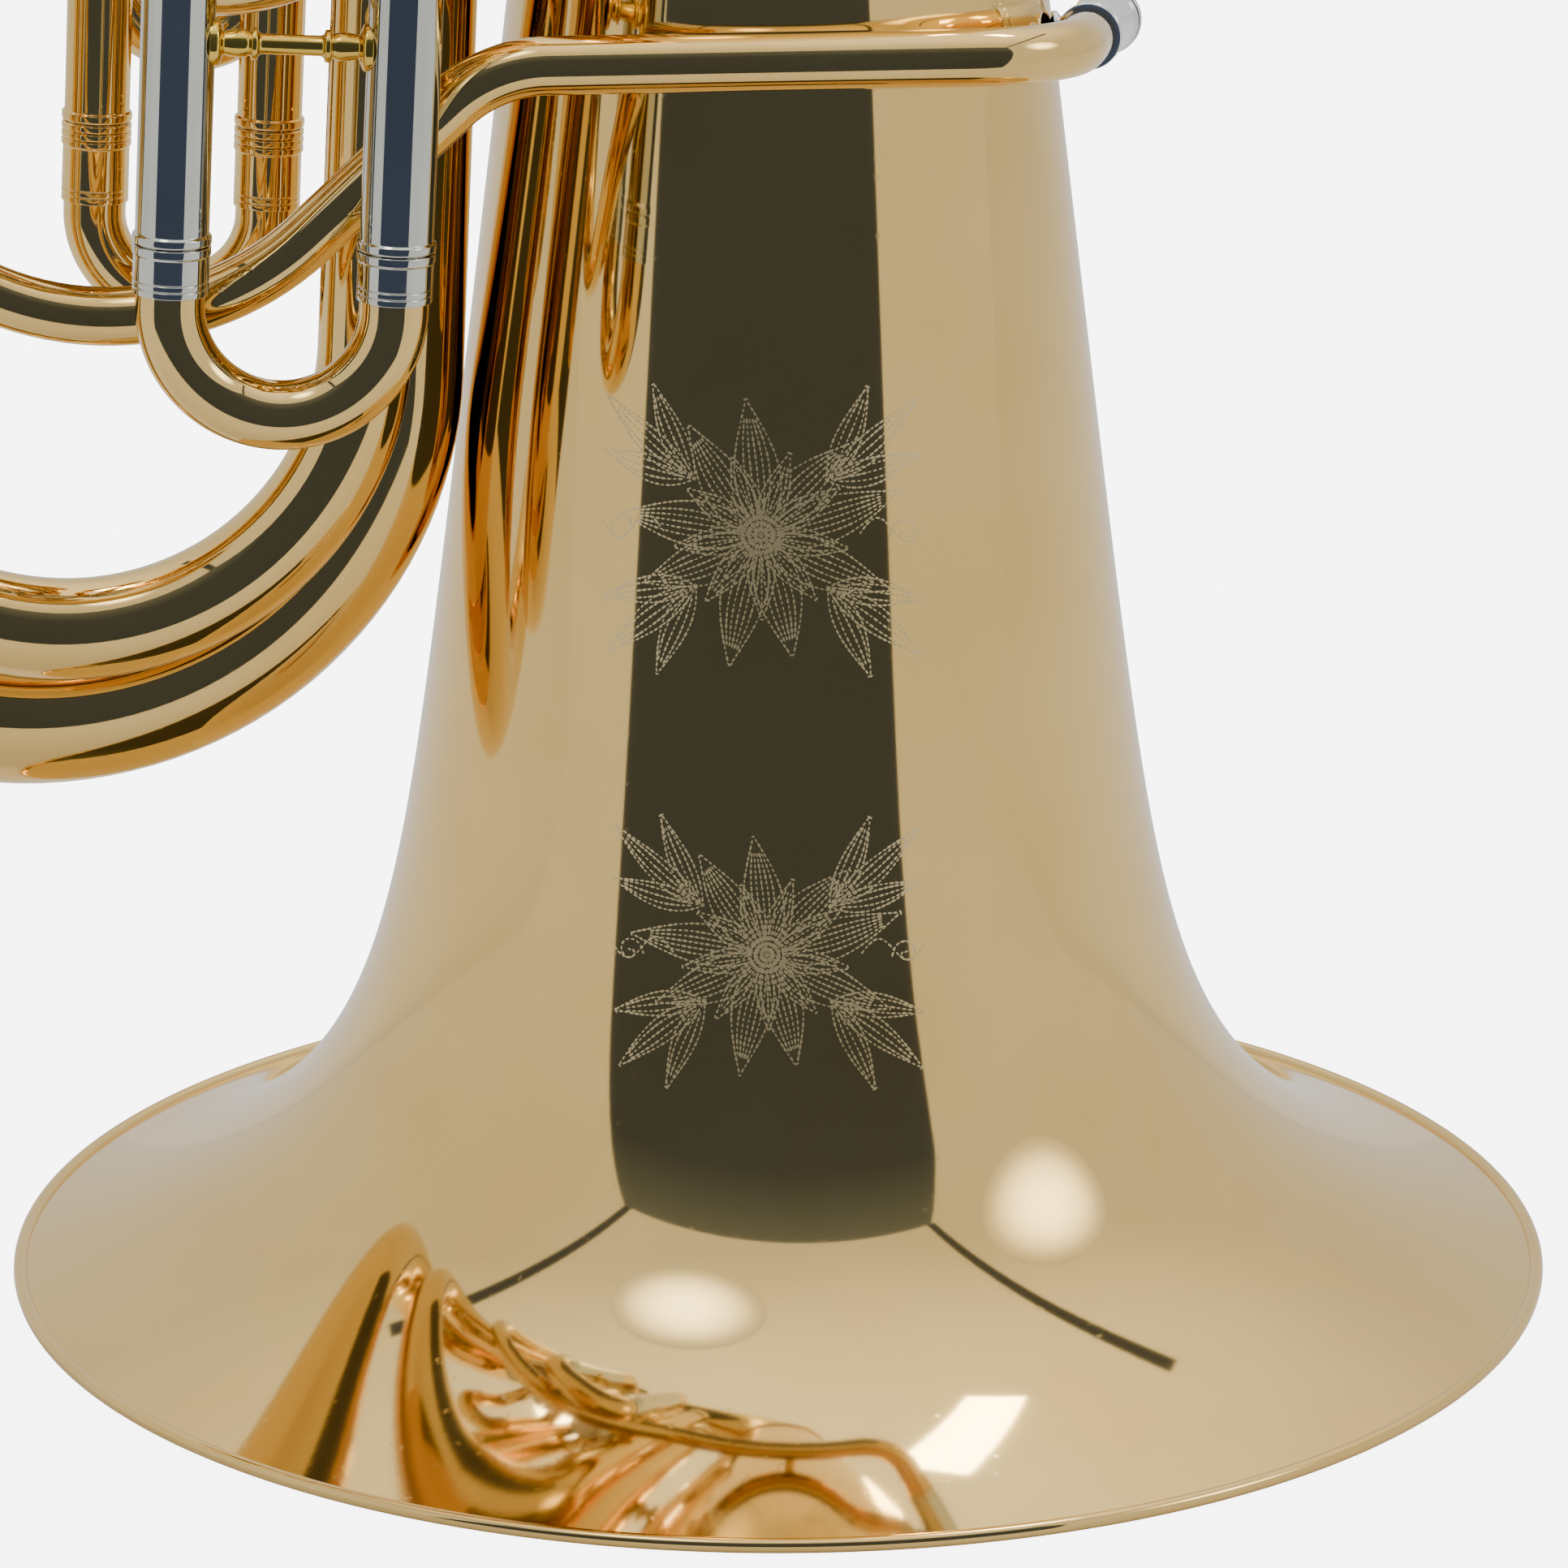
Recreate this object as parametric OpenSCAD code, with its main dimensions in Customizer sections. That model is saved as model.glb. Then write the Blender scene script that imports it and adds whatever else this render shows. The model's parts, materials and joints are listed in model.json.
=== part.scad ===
// Upright baritone horn standing on its bell, three piston valves.
// Origin: centre of the bell mouth, on the plane the rim rests on. +Z up the bell, -Y is the audience side.
// The tubing beside the bell leans in with the bell's taper, so it is drawn upright and tipped by leaned().

/* [Bell] */
// Radius of the bell mouth over its rim wire
mouth_r = 152.5; // [150:0.5:155]
// Radius of the wire rolled into the rim
rim_wire_r = 1.4; // [1.2:0.1:1.8]
// Wall of the bell sheet
bell_wall = 0.7; // [0.5:0.1:1]
// Length over which the flare dies away
flare_length = 24; // [22:0.5:25]

/* [Branches] */
// Tip of the tubing towards the bell, in degrees
lean = 3.2; // [2.8:0.1:3.4]
// Wall of the big tubes
branch_wall = 0.8; // [0.6:0.1:1]

/* [Valves] */
// Distance between valve axes
valve_pitch = 28.6; // [28.4:0.1:28.8]
// Outer radius of a valve casing
casing_r = 12.4; // [12.2:0.1:12.5]
// Radius of a piston
piston_r = 10.9; // [10.5:0.1:11]
// Travel of a piston
valve_travel = 15; // [12:1:15]
// Gap round a piston, a stem and a slide leg
running_gap = 0.05; // [0.03:0.01:0.08]

/* [Slides] */
// Outer radius of the third valve slide's outer tubes
third_tube_r = 6.7; // [6.6:0.1:6.8]
// Outer radius of the other slides' outer tubes
slide_tube_r = 6.15; // [6.1:0.05:6.2]
// Wall of a slide tube
slide_wall = 0.4; // [0.3:0.05:0.5]

/* [Mouthpiece end] */
// Outer radius of the leadpipe
leadpipe_r = 5.3; // [5.2:0.1:5.4]
// Radius of the cylindrical mouth of the receiver
receiver_bore_r = 5; // [4.9:0.05:5.2]

/* [Hidden] */
$fn = 64;

lacquer = "#d9b66a";
nickel = "#b9bdb6";
yellow_brass = "#e0c25a";

// ---- bell ----
rim_z = rim_wire_r - 0.1;
bell_z0 = rim_z + 0.2;
throat_z = 486.2;
throat_r = 31.1;
// The stem's cone, which the flare is added to
stem_r0 = 82.8;
stem_taper = 0.1245;
straight_z = 250;
flare_r = mouth_r - rim_wire_r - stem_r0;

function bell_r(z) = let (h = z - bell_z0)
    stem_r0 - stem_taper * h + flare_r * exp(-h / flare_length)
    + (z > straight_z ? 0.000155 * pow(z - straight_z, 2) : 0);
function bell_slope(z) = (bell_r(z + 0.01) - bell_r(z - 0.01)) / 0.02;
// Heights down the bell, close together in the flare
bell_steps = 40;
bell_heights = [for (i = [0:bell_steps]) bell_z0 + (throat_z - bell_z0) * pow(i / bell_steps, 2.2)];
function bell_inside(z) = let (s = bell_slope(z), n = sqrt(1 + s * s))
    [bell_r(z) - bell_wall / n, z + bell_wall * s / n];
bell_outline = concat(
    [for (z = bell_heights) [bell_r(z), z]],
    [for (i = [bell_steps:-1:0]) let (z = bell_heights[i])
        i == bell_steps ? [bell_r(z) - bell_wall, z] : bell_inside(z)]);

// ---- places in the leaned frame ----
valve_y = -34;
valve_x0 = -172.8;
function valve_x(i) = valve_x0 + valve_pitch * i;
casing_z0 = 300;
casing_z1 = 424;
cap_t = 7;
cap_skirt = 4;
piston_z0 = 306;
piston_z1 = 402;
stem_r = 3;
button_z = 270;
button_r = 9;
port_r = 5.3;

third_x = [-128.3, -88];
third_y = -71;
third_z = 218;
main_x = [-141.9, -109.4];
main_y = 1;
main_z = 224.8;
second_x = [-139, -111];
back_y = 17;
second_z = 260.2;
first_x = [-191, -165];
first_z = 306;
small_tube_r = 6;
tube_top_z = 300;

branch_top_z = 455;
outer_x = [-84.2, -222.2];
outer_y = -8;
outer_bend_z = 180;
outer_left_top_z = 480;
inner_x = [-91.3, -203.5];
inner_y = -34;
inner_bend_z = 190.5;
inner_right_top_z = 445;

// The bottom bow lies in the upright frame and joins the leaned branch to the bell
bow_start = [outer_x[1] * cos(lean) + outer_left_top_z * sin(lean),
    outer_left_top_z * cos(lean) - outer_x[1] * sin(lean)];
bow_r = -bow_start[0] / (1 + cos(lean));
bow_centre = [-bow_r, throat_z];

// ---- sweeping a round tube along a route ----
function unit(v) = v / norm(v);
function total(v, n, i = 0) = i >= n ? 0 : v[i] + total(v, n, i + 1);

// Points of a route with its corners rounded to the given radii, one ring every `step` degrees
function corner(p, i, r, step) = let (
        a = unit(p[i - 1] - p[i]), b = unit(p[i + 1] - p[i]), turn = 180 - acos(a * b),
        s = p[i] + a * r * tan(turn / 2), c = p[i] + unit(a + b) * r / cos(turn / 2),
        n = max(2, round(turn / step)))
    [for (k = [0:n]) c + (s - c) * cos(turn * k / n) - a * r * sin(turn * k / n)];
function joined(p, rest) = norm(p[len(p) - 1] - rest[0]) < 0.02
    ? concat(p, [for (i = [1:len(rest) - 1]) rest[i]]) : concat(p, rest);
function rounded(p, radii, step = 9, i = 1) = i >= len(p) - 1 ? [p[len(p) - 1]]
    : i == 1 ? joined(joined([p[0]], corner(p, 1, radii[0], step)), rounded(p, radii, step, 2))
    : joined(corner(p, i, radii[i - 1], step), rounded(p, radii, step, i + 1));

// A route's directions, with its two end faces turned square to `ends` when that is given
function tangents(p, ends) = let (last = len(p) - 1) [for (i = [0:last])
    ends != undef && i == 0 ? ends[0] : ends != undef && i == last ? ends[1]
    : unit(p[min(i + 1, last)] - p[max(i - 1, 0)])];
function across(t) = unit(cross(t, abs(t[1]) < 0.8 ? [0, 1, 0] : [1, 0, 0]));
function carried(t) = [for (i = 0, n = across(t[0]); i < len(t);
    i = i + 1, n = i < len(t) ? unit(n - (n * t[i]) * t[i]) : n) n];
function distances(p) = [for (i = 0, d = 0; i < len(p);
    i = i + 1, d = i < len(p) ? d + norm(p[i] - p[i - 1]) : d) d];

// radii: pairs of [share of the length, outer radius]
module tube(p, radii, wall, sides = 12, ends = undef) {
    t = tangents(p, ends);
    n = carried(t);
    d = distances(p);
    last = len(p) - 1;
    function ring(i, r) = [for (j = [0:sides - 1]) let (a = 360 * j / sides)
        p[i] + r * (cos(a) * n[i] + sin(a) * cross(t[i], n[i]))];
    points = [for (i = [0:last]) let (r = lookup(d[i] / d[last], radii))
        for (q = concat(ring(i, r), ring(i, r - wall))) q];
    function at(i, j) = 2 * sides * i + j % sides;
    skin = [for (i = [0:last - 1], j = [0:sides - 1]) [at(i, j), at(i + 1, j), at(i + 1, j + 1), at(i, j + 1)]];
    bore = [for (f = skin) [f[0] + sides, f[3] + sides, f[2] + sides, f[1] + sides]];
    near_end = [for (j = [0:sides - 1]) [at(0, j), at(0, j + 1), at(0, j + 1) + sides, at(0, j) + sides]];
    far_end = [for (j = [0:sides - 1])
        [at(last, j), at(last, j) + sides, at(last, j + 1) + sides, at(last, j + 1)]];
    polyhedron(concat(points), concat(skin, bore, near_end, far_end), convexity = 6);
}

module leaned() { rotate([0, lean, 0]) children(); }

module ring(r_out, r_in, h) {
    difference() {
        cylinder(r = r_out, h = h);
        translate([0, 0, -1]) cylinder(r = r_in, h = h + 2);
    }
}

module at_legs(xs, y, z) { for (x = xs) translate([x, y, z]) children(); }

// ---- bell and bows ----
module bell() { color(lacquer) rotate_extrude($fn = 128) polygon(bell_outline); }

// Half the angle that the flat under the wire takes from its section
rim_flat_half = acos(rim_z / rim_wire_r);
rim_steps = 30;
module rim_wire() {
    color(lacquer) rotate_extrude($fn = 128) polygon([for (i = [0:rim_steps])
        let (a = -90 + rim_flat_half + (360 - 2 * rim_flat_half) * i / rim_steps)
        [mouth_r - rim_wire_r + rim_wire_r * cos(a), i == 0 || i == rim_steps ? 0 : rim_z + rim_wire_r * sin(a)]]);
}

module bell_ferrule() {
    inner_r = bell_r(throat_z - 6) + 0.1;
    color(lacquer) rotate_extrude($fn = 96) polygon([
        [inner_r, throat_z - 6], [inner_r + 1.5, throat_z - 6], [inner_r + 1.5, throat_z - 4.4],
        [inner_r + 1, throat_z - 4], [inner_r + 1, throat_z + 4], [inner_r + 1.5, throat_z + 4.4],
        [inner_r + 1.5, throat_z + 6], [throat_r + 0.1, throat_z + 6], [throat_r + 0.1, throat_z + 0.2],
        [inner_r, throat_z + 0.2]]);
}

bow_steps = 22;
bow_turn = 180 - lean;
// The bow comes forward from the bell's axis to the branch as it turns
function eased(t) = t * t * (3 - 2 * t);
bow_route = [for (i = [0:bow_steps]) let (a = bow_turn * (1 - i / bow_steps))
    [bow_centre[0] + bow_r * cos(a), outer_y * (1 - eased(i / bow_steps)), bow_centre[1] + bow_r * sin(a)]];
bow_r0 = 20.5;

module bottom_bow() {
    color(lacquer) tube(bow_route, [[0, bow_r0], [1, throat_r]], branch_wall, 24,
        [[sin(lean), 0, cos(lean)], [0, 0, -1]]);
}

// A strip over the outside of the bottom bow
guard_sides = 7;
guard_from = 6;
guard_to = 15;
guard_half = 38;
guard_t = 0.9;
function guard_point(i, k, lift) = let (
        a = bow_turn * (1 - i / bow_steps), out = [cos(a), 0, sin(a)],
        r = bow_r0 + (throat_r - bow_r0) * i / bow_steps + lift,
        g = guard_half * (2 * k / guard_sides - 1))
    bow_route[i] + r * (cos(g) * out + sin(g) * [0, 1, 0]);

module bow_guard() {
    rows = guard_to - guard_from;
    side = guard_sides + 1;
    top = [for (i = [guard_from:guard_to], k = [0:guard_sides]) guard_point(i, k, 0.3 + guard_t)];
    under = [for (i = [guard_from:guard_to], k = [0:guard_sides]) guard_point(i, k, 0.3)];
    half = len(top);
    faces = concat(
        [for (i = [0:rows - 1], k = [0:guard_sides - 1])
            [i * side + k, (i + 1) * side + k, (i + 1) * side + k + 1, i * side + k + 1]],
        [for (i = [0:rows - 1], k = [0:guard_sides - 1]) [half + i * side + k, half + i * side + k + 1,
            half + (i + 1) * side + k + 1, half + (i + 1) * side + k]],
        [for (i = [0:rows - 1]) [i * side, half + i * side, half + (i + 1) * side, (i + 1) * side]],
        [for (i = [0:rows - 1]) let (e = side - 1)
            [i * side + e, (i + 1) * side + e, half + (i + 1) * side + e, half + i * side + e]],
        [for (k = [0:guard_sides - 1]) [k, k + 1, half + k + 1, half + k]],
        [for (k = [0:guard_sides - 1]) let (e = rows * side)
            [e + k, half + e + k, half + e + k + 1, e + k + 1]]);
    color(lacquer) polyhedron([for (q = concat(top, under)) q], [for (f = faces) [f[3], f[2], f[1], f[0]]]);
}

module bow_ferrule() {
    color(lacquer) leaned() translate([outer_x[1], outer_y, outer_left_top_z - 8])
        ring(bow_r0 + 1.8, bow_r0 + 0.5, 14);
}

outer_bend_r = (outer_x[0] - outer_x[1]) / 2;
outer_route = rounded([[outer_x[0], outer_y, branch_top_z],
    [outer_x[0], outer_y, outer_bend_z - outer_bend_r], [outer_x[1], outer_y, outer_bend_z - outer_bend_r],
    [outer_x[1], outer_y, outer_left_top_z]],
    [outer_bend_r, outer_bend_r]);

module outer_branch() {
    color(lacquer) leaned() tube(outer_route, [[0, 11.4], [0.35, 13.1], [0.5, 14.9], [0.63, 16.4], [1, bow_r0]],
        branch_wall, 22);
}

inner_bend_r = (inner_x[0] - inner_x[1]) / 2;
inner_route = rounded([[inner_x[0], inner_y, inner_right_top_z], [inner_x[0], inner_y, inner_bend_z - inner_bend_r],
    [inner_x[1], inner_y, inner_bend_z - inner_bend_r], [inner_x[1], inner_y, branch_top_z]],
    [inner_bend_r, inner_bend_r]);

module inner_branch() {
    color(lacquer) leaned() tube(inner_route, [[0, 8.2], [0.35, 8.7], [0.5, 9.7], [1, 10.3]], branch_wall, 18);
}

top_bend_r = norm([outer_x[0] - inner_x[1], outer_y - inner_y]) / 2;
top_stub = 3;
top_bow_route = rounded([[inner_x[1], inner_y, branch_top_z],
    [inner_x[1], inner_y, branch_top_z + top_stub + top_bend_r],
    [outer_x[0], outer_y, branch_top_z + top_stub + top_bend_r], [outer_x[0], outer_y, branch_top_z]],
    [top_bend_r, top_bend_r]);

module top_bow() {
    color(lacquer) leaned() tube(top_bow_route, [[0, 10.3], [1, 11.4]], branch_wall, 18);
}

tuning_bend_r = norm([inner_x[0] - main_x[0], inner_y - main_y]) / 2;
tuning_route = rounded([[main_x[0], main_y, inner_right_top_z - 8],
    [main_x[0], main_y, inner_right_top_z + 3 + tuning_bend_r],
    [inner_x[0], inner_y, inner_right_top_z + 3 + tuning_bend_r], [inner_x[0], inner_y, inner_right_top_z]],
    [tuning_bend_r, tuning_bend_r]);

module tuning_bow() {
    color(lacquer) leaned() tube(tuning_route, [[0, slide_tube_r], [0.15, slide_tube_r], [1, 8.2]], branch_wall, 16);
}

module joint_ferrule(r) {
    color(lacquer) ring(r + 1, r + 0.3, 16);
}

module branch_ferrules() {
    leaned() {
        translate([inner_x[1], inner_y, branch_top_z - 8]) joint_ferrule(10.3);
        translate([outer_x[0], outer_y, branch_top_z - 8]) joint_ferrule(11.5);
        translate([inner_x[0], inner_y, inner_right_top_z - 8]) joint_ferrule(8.2);
    }
}

// ---- leadpipe and receiver ----
pipe_y = -58;
riser = [-194.4, -52];
port_z_lead = 397;
port_a_lead = atan2(riser[1] - valve_y, riser[0] - valve_x(0));
receiver_at = [56.3, -27, 250.8];
receiver_tip = 94.7;
receiver_turn = -15.3;
receiver_len = 24;
receiver_way = [-sin(receiver_tip) * sin(receiver_turn), sin(receiver_tip) * cos(receiver_turn), cos(receiver_tip)];
function to_upright(q) = [q[0] * cos(lean) + q[2] * sin(lean), q[1], q[2] * cos(lean) - q[0] * sin(lean)];
// In the upright frame: forward from the receiver, across the front of the bell, down in front of the
// branches, round under the slides, up beside the first valve and into it
pipe_route = rounded([receiver_at, receiver_at - 36 * receiver_way, [-57.4, pipe_y, 253], [-187.3, riser[1], 132],
    to_upright([riser[0], riser[1], port_z_lead]), to_upright([
        valve_x(0) + (casing_r - 0.6) * cos(port_a_lead), valve_y + (casing_r - 0.6) * sin(port_a_lead),
        port_z_lead])], [22, 26, 53, 9], 9);

module leadpipe() {
    color(lacquer) tube(pipe_route, [[0, leadpipe_r], [1, leadpipe_r + 0.2]], 0.6, 14, [-receiver_way,
        unit(pipe_route[len(pipe_route) - 1] - pipe_route[len(pipe_route) - 2])]);
}

module receiver() {
    color(nickel) translate(receiver_at) rotate([-receiver_tip, 0, receiver_turn]) difference() {
        union() {
            translate([0, 0, -6]) cylinder(r = leadpipe_r + 0.6, h = 6 + receiver_len);
            translate([0, 0, -6]) cylinder(r = leadpipe_r + 0.9, h = 1.4);
            translate([0, 0, -3.4]) cylinder(r = leadpipe_r + 0.9, h = 1);
            translate([0, 0, receiver_len - 5]) cylinder(r = leadpipe_r + 1, h = 1.5);
            translate([0, 0, receiver_len - 2.4]) cylinder(r = leadpipe_r + 1.2, h = 2.4);
        }
        translate([0, 0, -7]) cylinder(r = leadpipe_r, h = 7);
        translate([0, 0, -0.5]) cylinder(r1 = 4.2, r2 = receiver_bore_r, h = receiver_len - 17.5);
        translate([0, 0, receiver_len - 18]) cylinder(r = receiver_bore_r, h = 19);
    }
}

// ---- valves ----
module port_holes(i) {
    // Holes for the tubes soldered to this casing: [direction in degrees, height]
    holes = [
        [[port_a_lead, port_z_lead], [109.6, 340], [81.3, 375], [0, 388]],
        [[180, 388], [63, 345], [63, 366], [0, 325]],
        [[180, 325], [-108.8, 342], [-95, 372], [80, 405]]];
    for (h = holes[i]) translate([0, 0, h[1]]) rotate([0, 90, h[0]]) cylinder(r = port_r, h = casing_r + 2);
}

module valve_casing(i) {
    color(lacquer) leaned() translate([valve_x(i), valve_y, 0]) difference() {
        union() {
            translate([0, 0, casing_z0]) cylinder(r = casing_r, h = casing_z1 - casing_z0);
            translate([0, 0, casing_z0 + 6]) cylinder(r = casing_r + 0.5, h = 1.6);
            translate([0, 0, casing_z1 - 8]) cylinder(r = casing_r + 0.5, h = 1.6);
        }
        translate([0, 0, casing_z0 - 1]) cylinder(r = piston_r + running_gap, h = casing_z1 - casing_z0 + 2);
        port_holes(i);
    }
}
module valve_casing_1() { valve_casing(0); }
module valve_casing_2() { valve_casing(1); }
module valve_casing_3() { valve_casing(2); }

module cap(hole_r) {
    difference() {
        union() {
            cylinder(r = casing_r + 0.7, h = cap_t);
            cylinder(r = casing_r - 2, h = 1);
        }
        translate([0, 0, cap_t - cap_skirt]) cylinder(r = casing_r + running_gap, h = cap_skirt + 1);
        if (hole_r > 0) translate([0, 0, -1]) cylinder(r = hole_r, h = cap_t);
    }
}

module top_caps() {
    color(nickel) leaned() for (i = [0:2]) translate([valve_x(i), valve_y, casing_z0 - cap_t + cap_skirt])
        cap(stem_r + running_gap);
}

module bottom_caps() {
    color(nickel) leaned() for (i = [0:2]) translate([valve_x(i), valve_y, casing_z1 + cap_t - cap_skirt])
        mirror([0, 0, 1]) cap(1.5);
}

module knuckles() {
    color(lacquer) leaned() for (k = [[0, 388], [1, 325]])
        translate([valve_x(k[0]) + valve_pitch / 2, valve_y, k[1]]) rotate([0, 90, 0]) difference() {
            translate([0, 0, -4]) cylinder(r = port_r + 0.6, h = 8);
            translate([0, 0, -5]) cylinder(r = port_r, h = 10);
            for (s = [-1, 1]) translate([0, 0, s * valve_pitch / 2]) rotate([0, 90, 0])
                cylinder(r = casing_r - 0.3, h = 20, center = true);
        }
}

module piston(i) {
    color(nickel) leaned() translate([valve_x(i), valve_y, 0]) difference() {
        translate([0, 0, piston_z0]) cylinder(r = piston_r, h = piston_z1 - piston_z0);
        translate([0, 0, piston_z1 - 6]) cylinder(r = piston_r - 1.5, h = 7);
        for (z = [325, 345, 366, 388]) translate([0, 0, z]) rotate([0, 90, 30 * i])
            cylinder(r = port_r - 0.3, h = 40, center = true);
    }
}
module piston_1() { piston(0); }
module piston_2() { piston(1); }
module piston_3() { piston(2); }

module finger_button(i) {
    color(nickel) leaned() translate([valve_x(i), valve_y, 0]) {
        translate([0, 0, button_z + 3]) cylinder(r = stem_r, h = piston_z0 - button_z - 3);
        difference() {
            translate([0, 0, button_z]) cylinder(r = button_r, h = 4);
            translate([0, 0, button_z - 1]) cylinder(r = button_r - 1.2, h = 2.2);
        }
        translate([0, 0, button_z + 4]) cylinder(r1 = button_r - 3, r2 = stem_r + 0.5, h = 2);
    }
}
module finger_button_1() { finger_button(0); }
module finger_button_2() { finger_button(1); }
module finger_button_3() { finger_button(2); }

module pearl(i) {
    color("#f2efe6") leaned() translate([valve_x(i), valve_y, button_z - 0.4]) cylinder(r = button_r - 1.3, h = 1.6);
}
module pearl_1() { pearl(0); }
module pearl_2() { pearl(1); }
module pearl_3() { pearl(2); }

spring_z0 = piston_z1 - 5.8;
spring_z1 = casing_z1 - 1;
spring_r = 7.5;
spring_wire_r = 0.6;
spring_turns = 5;
spring_steps = 14;
// A coil of wire: rings of `sides` points set along a helix, skinned and capped
module valve_spring(i) {
    sides = 6;
    count = spring_turns * spring_steps;
    low = spring_z0 + spring_wire_r + 0.1;
    rise = (spring_z1 - spring_wire_r - 0.1 - low) / count;
    points = [for (k = [0:count], j = [0:sides - 1])
        let (a = 360 * k / spring_steps, b = 360 * j / sides, r = spring_r + spring_wire_r * cos(b))
        [r * cos(a), r * sin(a), low + rise * k + spring_wire_r * sin(b)]];
    skin = [for (k = [0:count - 1], j = [0:sides - 1]) let (n = (j + 1) % sides)
        [k * sides + j, k * sides + n, (k + 1) * sides + n, (k + 1) * sides + j]];
    color("#8d8f92") leaned() translate([valve_x(i), valve_y, 0]) polyhedron(points, concat(skin,
        [[for (j = [sides - 1:-1:0]) j], [for (j = [0:sides - 1]) count * sides + j]]), convexity = 8);
}
module valve_spring_1() { valve_spring(0); }
module valve_spring_2() { valve_spring(1); }
module valve_spring_3() { valve_spring(2); }

// ---- slides ----
// Outer tubes stand on the horn; legs, ferrules and bow draw out together, downwards
module outer_tubes(xs, y, z, top, r) {
    at_legs(xs, y, z) {
        ring(r, r - slide_wall, top - z);
        ring(r + 0.5, r - slide_wall, 1.8);
    }
}

module inner_legs(xs, y, z0, z1, r) {
    at_legs(xs, y, z0) ring(r, r - 0.5, z1 - z0);
}

module slide_ferrules(xs, y, z, h, r) {
    at_legs(xs, y, z) difference() {
        union() {
            cylinder(r = r + 0.2, h = h);
            translate([0, 0, h - 1.6]) cylinder(r = r + 0.45, h = 1.6);
            translate([0, 0, 1.2]) cylinder(r = r + 0.35, h = 1);
        }
        translate([0, 0, -1]) cylinder(r = r - slide_wall - running_gap, h = h + 2);
    }
}

module u_bow(xs, y, z, top, r) {
    bend = (xs[1] - xs[0]) / 2;
    translate([xs[0] + bend, y, z]) {
        rotate([90, 0, 0]) rotate_extrude(angle = 180, start = 180) translate([bend, 0]) difference() {
            circle(r = r, $fn = 48);
            circle(r = r - 0.6, $fn = 48);
        }
        for (s = [-1, 1]) translate([s * bend, 0, 0]) ring(r, r - 0.6, top - z);
    }
}

third_leg_r = third_tube_r - slide_wall - running_gap;
main_leg_r = slide_tube_r - slide_wall - running_gap;
small_leg_r = small_tube_r - slide_wall - running_gap;
third_ferrule_h = 9;
main_ferrule_h = 15.3;
small_ferrule_h = 7;

module third_outer_tubes() {
    color(nickel) leaned() outer_tubes(third_x, third_y, third_z, tube_top_z, third_tube_r);
}
module third_inner_legs() {
    color(nickel) leaned() inner_legs(third_x, third_y, third_z - third_ferrule_h - 0.2, 290, third_leg_r);
}
module third_slide_ferrules() {
    color(nickel) leaned()
        slide_ferrules(third_x, third_y, third_z - third_ferrule_h - 0.2, third_ferrule_h, third_tube_r);
}
module third_slide_bow() {
    color(lacquer) leaned() u_bow(third_x, third_y, third_z - third_ferrule_h - 2.2,
        third_z - third_ferrule_h - 0.2, third_leg_r + 0.1);
}

module main_outer_tubes() {
    color(lacquer) leaned() outer_tubes(main_x, main_y, main_z, tube_top_z, slide_tube_r);
}
module main_inner_legs() {
    color(nickel) leaned() inner_legs(main_x, main_y, main_z - main_ferrule_h - 0.2, 290, main_leg_r);
}
module main_slide_ferrules() {
    color(lacquer) leaned()
        slide_ferrules(main_x, main_y, main_z - main_ferrule_h - 0.2, main_ferrule_h, slide_tube_r);
}
module main_slide_bow() {
    color(lacquer) leaned() u_bow(main_x, main_y, main_z - main_ferrule_h - 2.2,
        main_z - main_ferrule_h - 0.2, main_leg_r + 0.2);
}

module first_outer_tubes() {
    color(lacquer) leaned() outer_tubes(first_x, back_y, first_z, first_z + 26, small_tube_r);
}
module first_inner_legs() {
    color(nickel) leaned() inner_legs(first_x, back_y, first_z - small_ferrule_h - 0.2, first_z + 22, small_leg_r);
}
module first_slide_bow() {
    color(lacquer) leaned() {
        slide_ferrules(first_x, back_y, first_z - small_ferrule_h - 0.2, small_ferrule_h, small_tube_r);
        u_bow(first_x, back_y, first_z - small_ferrule_h - 2.2, first_z - small_ferrule_h - 0.2, small_leg_r + 0.2);
    }
}

module second_outer_tubes() {
    color(lacquer) leaned() outer_tubes(second_x, back_y, second_z, tube_top_z, small_tube_r);
}
module second_inner_legs() {
    color(nickel) leaned() inner_legs(second_x, back_y, second_z - small_ferrule_h - 0.2, 292, small_leg_r);
}
module second_slide_bow() {
    color(lacquer) leaned() {
        slide_ferrules(second_x, back_y, second_z - small_ferrule_h - 0.2, small_ferrule_h, small_tube_r);
        u_bow(second_x, back_y, second_z - small_ferrule_h - 2.2, second_z - small_ferrule_h - 0.2, small_leg_r + 0.2);
    }
}

// ---- tubes from the slides to the valves ----
// A casing's face, `a` degrees round from +X, sunk a little into its wall
function face(i, a, z) = [valve_x(i) + (casing_r - 0.6) * cos(a), valve_y + (casing_r - 0.6) * sin(a), z];
port_step = 18;

loop_y = -55.5;
loop_x = [-154.9, -89.9];
loop_bend_z = 295;
loop_bend_r = (loop_x[1] - loop_x[0]) / 2;
return_r = (loop_y - third_y) / 2;
loop_route = rounded([[third_x[1], third_y, tube_top_z], [third_x[1], third_y, 320 + return_r],
    [loop_x[1], loop_y, 320 + return_r], [loop_x[1], loop_y, loop_bend_z - loop_bend_r],
    [loop_x[0], loop_y, loop_bend_z - loop_bend_r], [loop_x[0], loop_y, 372], [-122, loop_y - 1, 372],
    face(2, -95, 372)], [return_r, return_r, loop_bend_r, loop_bend_r, 12, 7], 12);

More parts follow.
